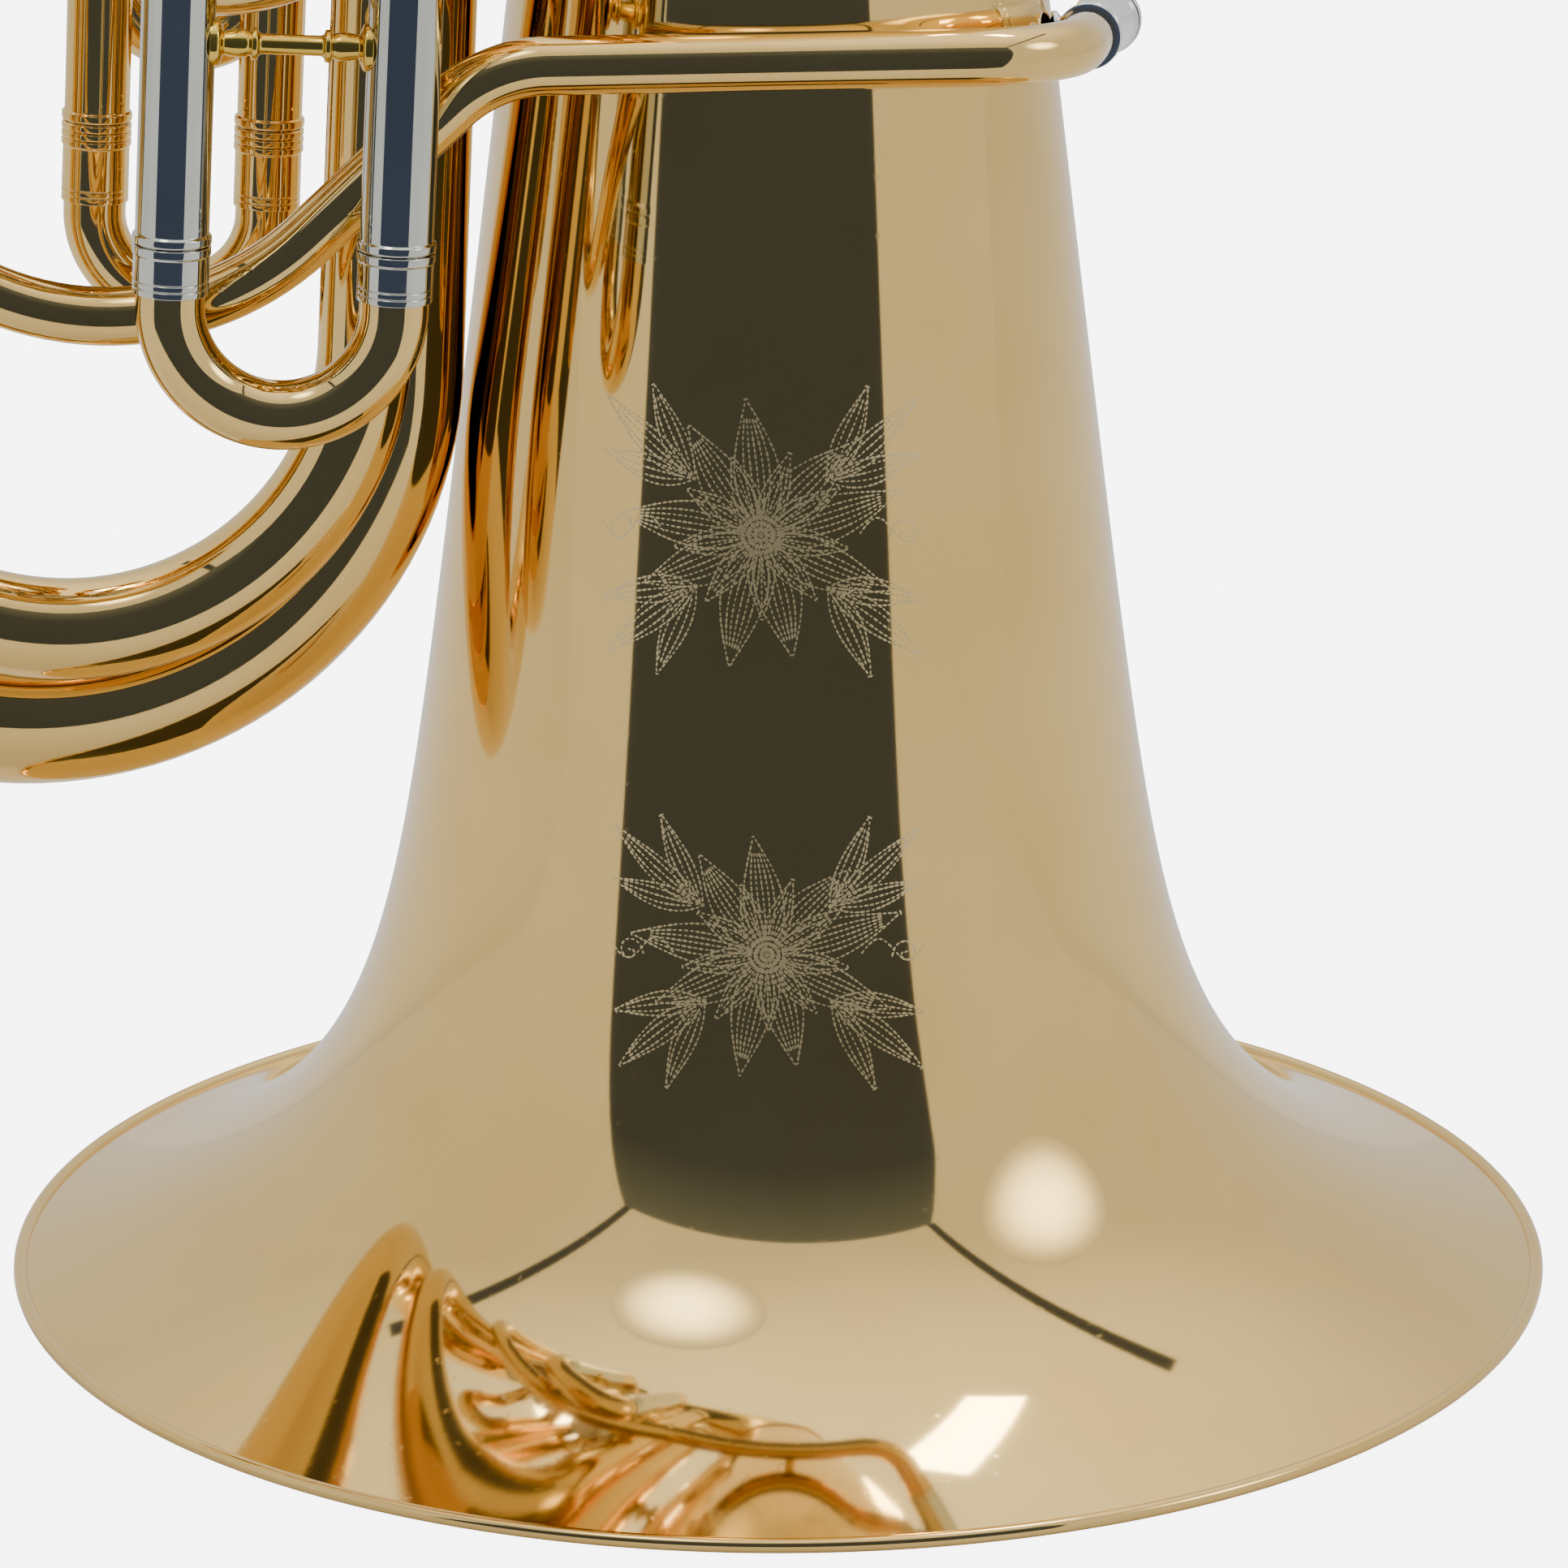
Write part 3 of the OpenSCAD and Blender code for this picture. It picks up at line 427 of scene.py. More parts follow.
def tube_tree():
    """Geometry nodes that sweep a circle along a chain of edges, as wide as its "bore" attribute."""
    tree, given, result = new_shape_tree("Swept tube", {"Sides": ("NodeSocketInt", 64)})
    to_curve = tree.nodes.new("GeometryNodeMeshToCurve")
    bore = tree.nodes.new("GeometryNodeInputNamedAttribute")
    bore.data_type = "FLOAT"
    bore.inputs["Name"].default_value = "bore"
    widen = tree.nodes.new("GeometryNodeSetCurveRadius")
    circle = tree.nodes.new("GeometryNodeCurvePrimitiveCircle")
    circle.inputs["Radius"].default_value = 1.0
    sweep = tree.nodes.new("GeometryNodeCurveToMesh")
    real = tree.nodes.new("GeometryNodeRealizeInstances")
    paint = tree.nodes.new("GeometryNodeSetMaterial")
    link = tree.links.new
    link(given.outputs["Geometry"], to_curve.inputs["Mesh"])
    link(to_curve.outputs["Curve"], widen.inputs["Curve"])
    link(bore.outputs["Attribute"], widen.inputs["Radius"])
    link(given.outputs["Sides"], circle.inputs["Resolution"])
    link(widen.outputs["Curve"], sweep.inputs["Curve"])
    link(circle.outputs["Curve"], sweep.inputs["Profile Curve"])
    if "Scale" in sweep.inputs:
        link(bore.outputs["Attribute"], sweep.inputs["Scale"])
    link(sweep.outputs["Mesh"], real.inputs["Geometry"])
    link(real.outputs["Geometry"], paint.inputs["Geometry"])
    link(given.outputs["Material"], paint.inputs["Material"])
    link(paint.outputs["Geometry"], result.inputs["Geometry"])
    return tree


def evaluated(source, tree, values, name):
    """The plain mesh that a node tree makes from the source object, which is then removed."""
    modifier = source.modifiers.new("Build", "NODES")
    modifier.node_group = tree
    names = {item.name: item.identifier for item in tree.interface.items_tree if item.in_out == "INPUT"}
    for label, value in values.items():
        modifier[names[label]] = value
    graph = bpy.context.evaluated_depsgraph_get()
    mesh = bpy.data.meshes.new_from_object(source.evaluated_get(graph), depsgraph=graph)
    mesh.name = name
    bpy.data.objects.remove(source)
    return mesh


def chains(name, routes, place=UPRIGHT):
    """An object of edge chains in metres. Each route is a list of (point in millimetres, radius)."""
    verts, edges, bores = [], [], []
    for route in routes:
        first = len(verts)
        verts += [tuple(place @ point * MM) for point, _ in route]
        bores += [radius * MM for _, radius in route]
        edges += [(i, i + 1) for i in range(first, len(verts) - 1)]
    mesh = bpy.data.meshes.new(name)
    mesh.from_pydata(verts, edges, [])
    mesh.attributes.new("bore", "FLOAT", "POINT").data.foreach_set("value", bores)
    return mesh_object(name, mesh, None)


TREES = {}


def swept(name, runs, place, material):
    """Bent tubes as one piece. Each run is (route, stops), with the radius at shares of its length."""
    if "tube" not in TREES:
        TREES["tube"] = tube_tree()
    routes = []
    for route, stops in runs:
        lengths = [0.0]
        for p, q in zip(route, route[1:]):
            lengths.append(lengths[-1] + (q - p).length)
        outside = [(p, radius_at(d / lengths[-1], stops)) for p, d in zip(route, lengths)]
        routes.append(outside)
    source = chains(name + "_path", routes, place)
    sides = bpy.context.scene.horn_sizes.tube_sides
    mesh = evaluated(source, TREES["tube"], {"Sides": sides, "Material": material}, name)
    bm = bmesh.new()
    bm.from_mesh(mesh)
    bmesh.ops.recalc_face_normals(bm, faces=bm.faces)
    bm.to_mesh(mesh)
    bm.free()
    mesh.shade_smooth()
    return mesh_object(name, mesh, material)


# ---------------------------------------------------------------- the bell's curve
def bell_radius(z):
    """Outside radius of the bell at a height, both in millimetres: a cone plus a flare that dies away."""
    sizes = bpy.context.scene.horn_sizes
    mouth, wire = sizes.mouth_radius / MM, sizes.rim_wire_radius / MM
    h = z - (wire + 0.1)
    flare = mouth - wire - CONE_R
    eased_in = STEM_CURVE * (z - STEM_Z) ** 2 if z > STEM_Z else 0
    return CONE_R - CONE_TAPER * h + flare * math.exp(-h / FLARE_REACH) + eased_in


def bell_normal(z):
    """(radial, vertical) parts of the bell's outward normal at a height."""
    slope = (bell_radius(z + 0.05) - bell_radius(z - 0.05)) / 0.1
    length = math.hypot(1, slope)
    return 1 / length, -slope / length


def eased(t):
    return t * t * (3 - 2 * t)


def bow_route(count=70):
    """Centre line of the bottom bow, from the outer branch over to the bell."""
    top = LEANED @ Vector((OUTER_X[1], 0, OUTER_TOP_Z))
    radius = -top.x / (1 + math.cos(LEAN))
    turn = math.pi - LEAN
    route = []
    for i in range(count + 1):
        a = turn * (1 - i / count)
        route.append(Vector((-radius + radius * math.cos(a), OUTER_Y * (1 - eased(i / count)),
                             THROAT_Z + radius * math.sin(a))))
    return route


class HORN_OT_bell(bpy.types.Operator):
    """Spins the bell, its rim wire and the ferrule at its throat"""
    bl_idname = "horn.bell"
    bl_label = "Bell"

    def execute(self, context):
        sizes = context.scene.horn_sizes
        wire, wall = sizes.rim_wire_radius / MM, sizes.bell_wall / MM
        mouth = sizes.mouth_radius / MM
        low = wire + 0.1
        heights = [low + (THROAT_Z - low) * (i / 150) ** 2.2 for i in range(151)]
        outside = [(bell_radius(z), z) for z in heights]
        inside = []
        for z in reversed(heights):
            out, up = bell_normal(z)
            inside.append((bell_radius(z) - wall * out, z - wall * up if z > low else z + wall * 0.5))
        bell = turned("bell_sheet", outside + inside, [UPRIGHT], bell_sheet(), sizes.bell_sides, closed=True)
        settle(bell, "horn", "bell_lacquer", "bell")
        ring = [(mouth - wire + wire * math.cos(a), wire - 0.1 + wire * math.sin(a))
                for a in (2 * math.pi * k / 32 for k in range(32))]
        ring = [(r, max(z, 0.0)) for r, z in ring]
        rim = turned("rim_roll", ring, [UPRIGHT], bell_sheet(), sizes.bell_sides, closed=True)
        settle(rim, "horn", "bell_lacquer", "rim_wire")
        inner = bell_radius(THROAT_Z - 6) + 0.1
        band = softened([(inner, THROAT_Z - 6), (inner + 1.5, THROAT_Z - 6), (inner + 1.5, THROAT_Z - 4.4),
                         (inner + 1, THROAT_Z - 4), (inner + 1, THROAT_Z + 4), (inner + 1.5, THROAT_Z + 4.4),
                         (inner + 1.5, THROAT_Z + 6), (THROAT_R + 0.1, THROAT_Z + 6)], 0.3)
        ferrule = turned("throat_ferrule", band, [UPRIGHT], lacquered(), 128)
        settle(ferrule, "horn", "lacquered_brass", "bell_ferrule")
        return {"FINISHED"}


class HORN_OT_branches(bpy.types.Operator):
    """Sweeps the conical branches and the bows that join them"""
    bl_idname = "horn.branches"
    bl_label = "Branches and bows"

    def execute(self, context):
        brass = lacquered()
        outer_bend = (OUTER_X[0] - OUTER_X[1]) / 2
        outer = rounded([(OUTER_X[0], OUTER_Y, BRANCH_TOP_Z), (OUTER_X[0], OUTER_Y, OUTER_BEND_Z - outer_bend),
                         (OUTER_X[1], OUTER_Y, OUTER_BEND_Z - outer_bend), (OUTER_X[1], OUTER_Y, OUTER_TOP_Z)],
                        [outer_bend, outer_bend])
        piece = swept("outer_branch_tube", [(outer, [(0, 11.4), (0.35, 13.1), (0.5, 14.9), (0.63, 16.4),
                                                     (1, BOW_START_R)])], LEANED, brass)
        settle(piece, "horn", "lacquered_brass", "outer_branch")
        inner_bend = (INNER_X[0] - INNER_X[1]) / 2
        inner = rounded([(INNER_X[0], INNER_Y, INNER_TOP_Z), (INNER_X[0], INNER_Y, INNER_BEND_Z - inner_bend),
                         (INNER_X[1], INNER_Y, INNER_BEND_Z - inner_bend), (INNER_X[1], INNER_Y, BRANCH_TOP_Z)],
                        [inner_bend, inner_bend])
        piece = swept("inner_branch_tube", [(inner, [(0, 8.2), (0.35, 8.7), (0.5, 9.7), (1, 10.3)])], LEANED,
                      brass)
        settle(piece, "horn", "lacquered_brass", "inner_branch")
        start, end = Vector((INNER_X[1], INNER_Y, BRANCH_TOP_Z)), Vector((OUTER_X[0], OUTER_Y, BRANCH_TOP_Z))
        bend = (end - start).length / 2
        rise = Vector((0, 0, 3 + bend))
        piece = swept("top_bow_tube", [(rounded([start, start + rise, end + rise, end], [bend, bend]),
                                        [(0, 10.3), (1, 11.4)])], LEANED, brass)
        settle(piece, "horn", "lacquered_brass", "top_bow")
        start = Vector((MAIN_X[0], MAIN_Y, INNER_TOP_Z - 8))
        end = Vector((INNER_X[0], INNER_Y, INNER_TOP_Z))
        bend = Vector((start.x - end.x, start.y - end.y)).length / 2
        crest = INNER_TOP_Z + 3 + bend
        piece = swept("tuning_bow_tube", [(rounded([start, (start.x, start.y, crest), (end.x, end.y, crest), end],
                                                   [bend, bend]), [(0, 6.15), (0.15, 6.15), (1, 8.2)])],
                      LEANED, brass)
        settle(piece, "horn", "lacquered_brass", "tuning_bow")
        piece = swept("bottom_bow_tube", [(bow_route(), [(0, BOW_START_R), (1, THROAT_R)])], UPRIGHT, brass)
        settle(piece, "horn", "lacquered_brass", "bottom_bow")
        fittings = (
            ("branch_collars", "branch_ferrules", 16,
             [(10.5, (INNER_X[1], INNER_Y, BRANCH_TOP_Z - 8)), (11.6, (OUTER_X[0], OUTER_Y, BRANCH_TOP_Z - 8)),
              (8.4, (INNER_X[0], INNER_Y, INNER_TOP_Z - 8))]),
            ("bow_collar", "bow_ferrule", 14, [(BOW_START_R + 0.5, (OUTER_X[1], OUTER_Y, OUTER_TOP_Z - 8))]))
        for name, node, height, spots in fittings:
            collars = []
            for bore, spot in spots:
                outline = softened([(bore, 0), (bore + 1.1, 0), (bore + 1.1, 1.6), (bore + 0.8, 2.0),
                                    (bore + 0.8, height - 2.0), (bore + 1.1, height - 1.6),
                                    (bore + 1.1, height), (bore, height)], 0.3)
                collars.append(turned(name + "_part", outline, [LEANED @ Matrix.Translation(spot)], brass, 96))
            settle(joined(name, collars, brass), "horn", "lacquered_brass", node)
        return {"FINISHED"}


def joined(name, pieces, material):
    """Several pieces as one plain mesh."""
    bm = bmesh.new()
    for piece in pieces:
        bm.from_mesh(piece.data)
        bpy.data.objects.remove(piece)
    mesh = bpy.data.meshes.new(name)
    bm.to_mesh(mesh)
    bm.free()
    shade(mesh)
    return mesh_object(name, mesh, material)


def receiver_way():
    """Direction of the receiver, away from the leadpipe."""
    tip, turn = math.radians(RECEIVER_TIP), math.radians(RECEIVER_TURN)
    return Vector((-math.sin(tip) * math.sin(turn), math.sin(tip) * math.cos(turn), math.cos(tip)))


class HORN_OT_leadpipe(bpy.types.Operator):
    """Sweeps the leadpipe round the bell and turns its silver receiver"""
    bl_idname = "horn.leadpipe"
    bl_label = "Leadpipe and receiver"

    def execute(self, context):
        at = Vector((56.3, -27, 250.8))
        way = receiver_way()
        riser_x, riser_y, port_z = -194.4, -52.0, 397.0
        side = math.atan2(riser_y - VALVE_Y, riser_x - valve_x(0))
        port = (valve_x(0) + PORT_REACH * math.cos(side), VALVE_Y + PORT_REACH * math.sin(side), port_z)
        route = rounded([at, at - 36 * way, (-57.4, -58, 253), (-187.3, riser_y, 132),
                         LEANED @ Vector((riser_x, riser_y, port_z)), LEANED @ Vector(port)],
                        [22, 26, 53, 9])
        piece = swept("leadpipe_tube", [(route, [(0, LEADPIPE_R), (1, LEADPIPE_R + 0.2)])], UPRIGHT, lacquered())
        settle(piece, "horn", "lacquered_brass", "leadpipe")
        place = Matrix.Translation(at) @ Euler((math.radians(-RECEIVER_TIP), 0, math.radians(RECEIVER_TURN)),
                                                 "XYZ").to_matrix().to_4x4()
        r, end = LEADPIPE_R, 24.0
        outline = softened([
            (r, -6), (r + 0.9, -6), (r + 0.9, -4.6), (r + 0.6, -4.4), (r + 0.6, -3.6), (r + 0.9, -3.4),
            (r + 0.9, -2.4), (r + 0.6, -2.2), (r + 0.6, end - 5.2), (r + 1, end - 5), (r + 1, end - 3.5),
            (r + 0.6, end - 3.3), (r + 0.6, end - 2.6), (r + 1.2, end - 2.4), (r + 1.2, end), (5, end),
            (5, end - 18), (4.2, -0.5)], 0.2)
        piece = turned("receiver_sleeve", outline, [place], silver_plate(), 96)
        settle(piece, "horn", "silver_plate", "receiver")
        return {"FINISHED"}


class HORN_OT_valves(bpy.types.Operator):
    """Turns the valve casings, caps, stems and pearls"""
    bl_idname = "horn.valves"
    bl_label = "Valves"

    def execute(self, context):
        brass, nickel = lacquered(), nickel_silver()
        r, z0, z1 = CASING_R, CASING_Z0, CASING_Z1
        casing = softened([(r - 1.4, z0), (r, z0), (r, z0 + 5.6), (r + 0.5, z0 + 6), (r + 0.5, z0 + 7.6),
                           (r, z0 + 8), (r, z1 - 8.4), (r + 0.5, z1 - 8), (r + 0.5, z1 - 6.4), (r, z1 - 6),
                           (r, z1), (r - 1.4, z1)], 0.2)
        cap = softened([(3.1, 0), (6.0, 0), (6.6, 0.9), (r - 1.6, 1.0), (r - 0.6, 0.3), (r + 0.2, 0.5),
                        (r + 0.7, 1.2), (r + 0.7, 2.6), (r + 0.35, 2.9), (r + 0.35, 4.1), (r + 0.7, 4.4),
                        (r + 0.7, 6.6), (r + 0.1, 7.0)], 0.25)
        low = 270.0
        cap_places, base_places = [], []
        for i in range(3):
            place = LEANED @ Matrix.Translation((valve_x(i), VALVE_Y, 0))
            piece = turned(f"casing_{i + 1}", casing, [place], brass)
            settle(piece, "horn", "lacquered_brass", f"valve_casing_{i + 1}")
            cap_places.append(place @ Matrix.Translation((0, 0, z0 - 3)))
            base_places.append(place @ Matrix.Translation((0, 0, z1 + 3)) @ Matrix.Rotation(math.pi, 4, "X"))
            body = f"piston_{i + 1}_set"
            button = softened([(7.8, low + 1.2), (7.9, low), (8.6, low), (9, low + 0.5), (9, low + 3.2),
                               (8.2, low + 4), (6.2, low + 4.2), (4.4, low + 5), (3.5, low + 6.2), (3, low + 8),
                               (3, 306)], 0.3)
            piece = turned(f"button_{i + 1}", button, [place], nickel)
            settle(piece, body, "nickel_silver", f"finger_button_{i + 1}")
            crown = [(7.7 * math.cos(a), low + 1.2 - 1.5 * math.sin(a)) for a in
                     (math.pi / 2 * k / 10 for k in range(11))]
            piece = turned(f"pearl_disc_{i + 1}", crown, [place], pearl_shell())
            settle(piece, body, "pearl", f"pearl_{i + 1}")
        settle(turned("finger_caps", cap, cap_places, nickel), "horn", "nickel_silver", "top_caps")
        base = [(0, 0.2), (1.5, 0.4)] + cap[1:]
        settle(turned("base_caps", base, base_places, nickel), "horn", "nickel_silver", "bottom_caps")
        return {"FINISHED"}


def legs(xs, y, z):
    """Places of the two legs of a slide."""
    return [LEANED @ Matrix.Translation((x, y, z)) for x in xs]


def hairpin(xs, y, z, top):
    """Route of a slide's bow, hanging below z between its legs, with straight ends up to top."""
    bend = (xs[1] - xs[0]) / 2
    return rounded([(xs[0], y, top), (xs[0], y, z - bend), (xs[1], y, z - bend), (xs[1], y, top)], [bend, bend])


class HORN_OT_slides(bpy.types.Operator):
    """Builds the four drawing slides: outer tubes, legs, ferrules and bows"""
    bl_idname = "horn.slides"
    bl_label = "Slides"

    def execute(self, context):
        brass, nickel = lacquered(), nickel_silver()
        for name, xs, y, z, top, r, height, finish_of in (
                ("third", THIRD_X, THIRD_Y, THIRD_Z, TUBE_TOP_Z, 6.7, 9.0, nickel),
                ("main", MAIN_X, MAIN_Y, MAIN_Z, TUBE_TOP_Z, 6.15, 15.3, brass),
                ("first", FIRST_X, BACK_Y, FIRST_Z, FIRST_TOP_Z, 6.0, 7.0, brass),
                ("second", SECOND_X, BACK_Y, SECOND_Z, TUBE_TOP_Z, 6.0, 7.0, brass)):
            leg_r = r - 0.45
            slot = "nickel_silver" if finish_of is nickel else "lacquered_brass"
            outer = softened([(r - 0.4, 0), (r + 0.3, 0), (r + 0.5, 0.3), (r + 0.5, 1.5), (r + 0.2, 1.8),
                              (r, 2.0), (r, top - z)], 0.2)
            piece = turned(f"{name}_stockings", outer, legs(xs, y, z), finish_of)
            settle(piece, "horn", slot, f"{name}_outer_tubes")
            z_low = z - height - 0.2
            inside = [(leg_r, 0), (leg_r, (290 if name in ("third", "main") else top - 8) - z_low)]
            piece = turned(f"{name}_legs", inside, legs(xs, y, z_low), nickel)
            settle(piece, f"{name}_slide", "nickel_silver", f"{name}_inner_legs")
            wide = r + 0.45
            outline = [(leg_r + 0.05, 0), (r + 0.2, 0), (r + 0.2, 1.1), (r + 0.02, 1.25), (r + 0.2, 1.4),
                       (r + 0.2, 2.3), (r + 0.02, 2.45), (r + 0.2, 2.6)]
            if name == "main":
                for ring in range(3):
                    base = height - 4.6 + 1.55 * ring
                    outline += [(r + 0.15, base - 0.1), (wide, base + 0.15), (wide, base + 1.15),
                                (r + 0.15, base + 1.4)]
            else:
                outline += [(r + 0.2, height - 1.9), (wide, height - 1.6), (wide, height - 0.2)]
            outline += [(r + 0.2, height), (r - 0.38, height)]
            piece = turned(f"{name}_collars", softened(outline, 0.14), legs(xs, y, z_low), finish_of)
            nodes = [f"{name}_slide_ferrules"] if name in ("third", "main") else []
            settle(piece, f"{name}_slide", slot, *nodes)
            bow_z = z - height - 2.2
            grow = 0.1 if name == "third" else 0.2
            route = hairpin(xs, y, bow_z, z_low + 0.5)
            piece = swept(f"{name}_bow", [(route, [(0, leg_r + grow), (1, leg_r + grow)])], LEANED, brass)
            settle(piece, f"{name}_slide", "lacquered_brass", f"{name}_slide_bow")
        return {"FINISHED"}


def casing_face(index, degrees, z):
    """A point just inside a valve's casing, at an angle about its axis."""
    a = math.radians(degrees)
    return Vector((valve_x(index) + PORT_REACH * math.cos(a), VALVE_Y + PORT_REACH * math.sin(a), z))


class HORN_OT_port_tubes(bpy.types.Operator):
    """Sweeps the tubes between the slides and the valves"""
    bl_idname = "horn.port_tubes"
    bl_label = "Port tubes"

    def execute(self, context):
        brass = lacquered()
        loop_y, loop_x, loop_z = -55.5, (-154.9, -89.9), 295.0
        bend = (loop_x[1] - loop_x[0]) / 2
        back = (loop_y - THIRD_Y) / 2
        loop = rounded([(THIRD_X[1], THIRD_Y, TUBE_TOP_Z), (THIRD_X[1], THIRD_Y, 320 + back),
                        (loop_x[1], loop_y, 320 + back), (loop_x[1], loop_y, loop_z - bend),
                        (loop_x[0], loop_y, loop_z - bend), (loop_x[0], loop_y, 372), (-122, loop_y - 1, 372),
                        casing_face(2, -95, 372)], [back, back, bend, bend, 12, 7])
        third_x, third_port = THIRD_X[0], casing_face(2, -108.8, 342)
        runs = {
            "third_loop": [(loop, [(0, 6.7), (0.03, 6.7), (0.1, 6), (1, 6)])],
            "third_port_tube": [
                (rounded([(third_x, THIRD_Y, TUBE_TOP_Z), (third_x, THIRD_Y, 342), third_port], [13]),
                 [(0, 6.7), (0.3, 6.7), (0.7, 6), (1, 6)])],
            "main_port_tube": [
                self.elbow(MAIN_X[1], MAIN_Y, TUBE_TOP_Z, casing_face(2, 80, 405), 13, 6.15),
                (rounded([(MAIN_X[0], MAIN_Y, TUBE_TOP_Z), (MAIN_X[0], MAIN_Y, INNER_TOP_Z - 8)], []),
                 [(0, 6.15), (1, 6.15)])],
            "first_port_tubes": [
                self.elbow(FIRST_X[0], BACK_Y, FIRST_TOP_Z, casing_face(0, 109.6, 340), 7.5, 6),
                self.elbow(FIRST_X[1], BACK_Y, FIRST_TOP_Z, casing_face(0, 81.3, 375), 13, 6)],
            "second_port_tubes": [
                (rounded([(x, BACK_Y, TUBE_TOP_Z), (x, BACK_Y, z), (-125.5, 2, z), casing_face(1, 63, z)],
                         [8, 14]), [(0, 6), (1, 6)])
                for x, z in ((SECOND_X[0], 345), (SECOND_X[1], 366))],
        }
        for node, routes in runs.items():
            settle(swept(node + "_run", routes, LEANED, brass), "horn", "lacquered_brass", node)
        return {"FINISHED"}

    def elbow(self, x, y, low, port, bend, radius):
        """A run straight up from a slide's leg, then over to a port at the port's own height."""
        return rounded([(x, y, low), (x, y, port.z), port], [bend]), [(0, radius), (1, radius)]


def brace_outline(length, foot, rod):
    """Half outline of a turned brace: feet, balusters with a ring, and a thin rod between them."""
    if length > 18:
        b = min(9.5, length * 0.34)
        half = [(0, 0), (foot, 0), (foot, 1.5), (foot - 0.5, 2.0), (rod * 1.15, 2.6), (rod * 1.35, b * 0.45),
                (rod * 1.4, b * 0.65), (rod * 1.2, b - 2.3), (rod * 1.15, b - 2.1), (rod * 1.6, b - 1.9),
                (rod * 1.6, b - 0.9), (rod * 1.1, b - 0.6), (rod, b)]
    else:
        half = [(0, 0), (foot, 0), (foot, length * 0.22), (foot * 0.85, length * 0.28), (rod, length * 0.4)]
    return softened(half + [(r, length - h) for r, h in reversed(half)], 0.3)


class HORN_OT_braces(bpy.types.Operator):
    """Turns the braces and stays that hold the tubes together"""
    bl_idname = "horn.braces"
    bl_label = "Braces"

    def execute(self, context):
        yellow = yellow_brass()
        along_x = Matrix.Rotation(math.pi / 2, 4, "Y")
        along_y = Matrix.Rotation(-math.pi / 2, 4, "X")
        brace_z, third_r, sink = 254.7, 6.7, 1.2
        span = THIRD_X[1] - THIRD_X[0] - 2 * third_r + 2 * sink
        place = LEANED @ Matrix.Translation((THIRD_X[0] + third_r - sink, THIRD_Y, brace_z)) @ along_x
        settle(turned("slide_brace_rod", brace_outline(span, 4.4, 1.85), [place], yellow), "horn", "brace_brass",
               "slide_brace")
        start = THIRD_Y + third_r - sink
        place = LEANED @ Matrix.Translation((-89.6, start, brace_z)) @ along_y
        settle(turned("leg_brace_rod", brace_outline(INNER_Y - 8.2 - start, 4.4, 1.85), [place], yellow), "horn",
               "brace_brass", "leg_brace")
        low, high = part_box("bell_brace")
        place = Matrix.Translation((low[0] / MM, OUTER_Y, (low[2] + high[2]) / 2 / MM)) @ along_x
        settle(turned("bell_brace_post", brace_outline((high[0] - low[0]) / MM, 5, 2.6), [place], yellow), "horn",
               "brace_brass", "bell_brace")
        low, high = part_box("leadpipe_brace")
        place = Matrix.Translation((0, low[1] / MM, (low[2] + high[2]) / 2 / MM)) @ along_y
        settle(turned("leadpipe_brace_post", brace_outline((high[1] - low[1]) / MM, 2.4, 2), [place], yellow),
               "horn", "brace_brass", "leadpipe_brace")
        return {"FINISHED"}


# ---------------------------------------------------------------- engraving
def petal(length, width, bend=0.0, count=16):
    """Outline of a pointed petal along +X, as (x, y) in millimetres, bent sideways at its tip."""
    rows = [(k / count, width * math.sin(math.pi * (k / count) ** 0.8)) for k in range(count + 1)]
    near = [(length * t, w + bend * t * t) for t, w in rows]
    return near + [(length * t, bend * t * t - w) for t, w in reversed(rows[:-1])]


def veins(length, width, bend=0.0, count=3, steps=12):
    """Lines that run up a petal between its edges, spread by its width."""
    lines = []
    for i in range(count):
        side = 0 if count == 1 else 2 * i / (count - 1) - 1
        lines.append([(length * t, side * 0.55 * width * math.sin(math.pi * t) + bend * t * t)
                      for t in (0.14 + 0.7 * k / steps for k in range(steps + 1))])
    return lines


def turned_by(points, degrees, dx=0.0, dy=0.0):
    c, s = math.cos(math.radians(degrees)), math.sin(math.radians(degrees))
    return [(dx + x * c - y * s, dy + x * s + y * c) for x, y in points]


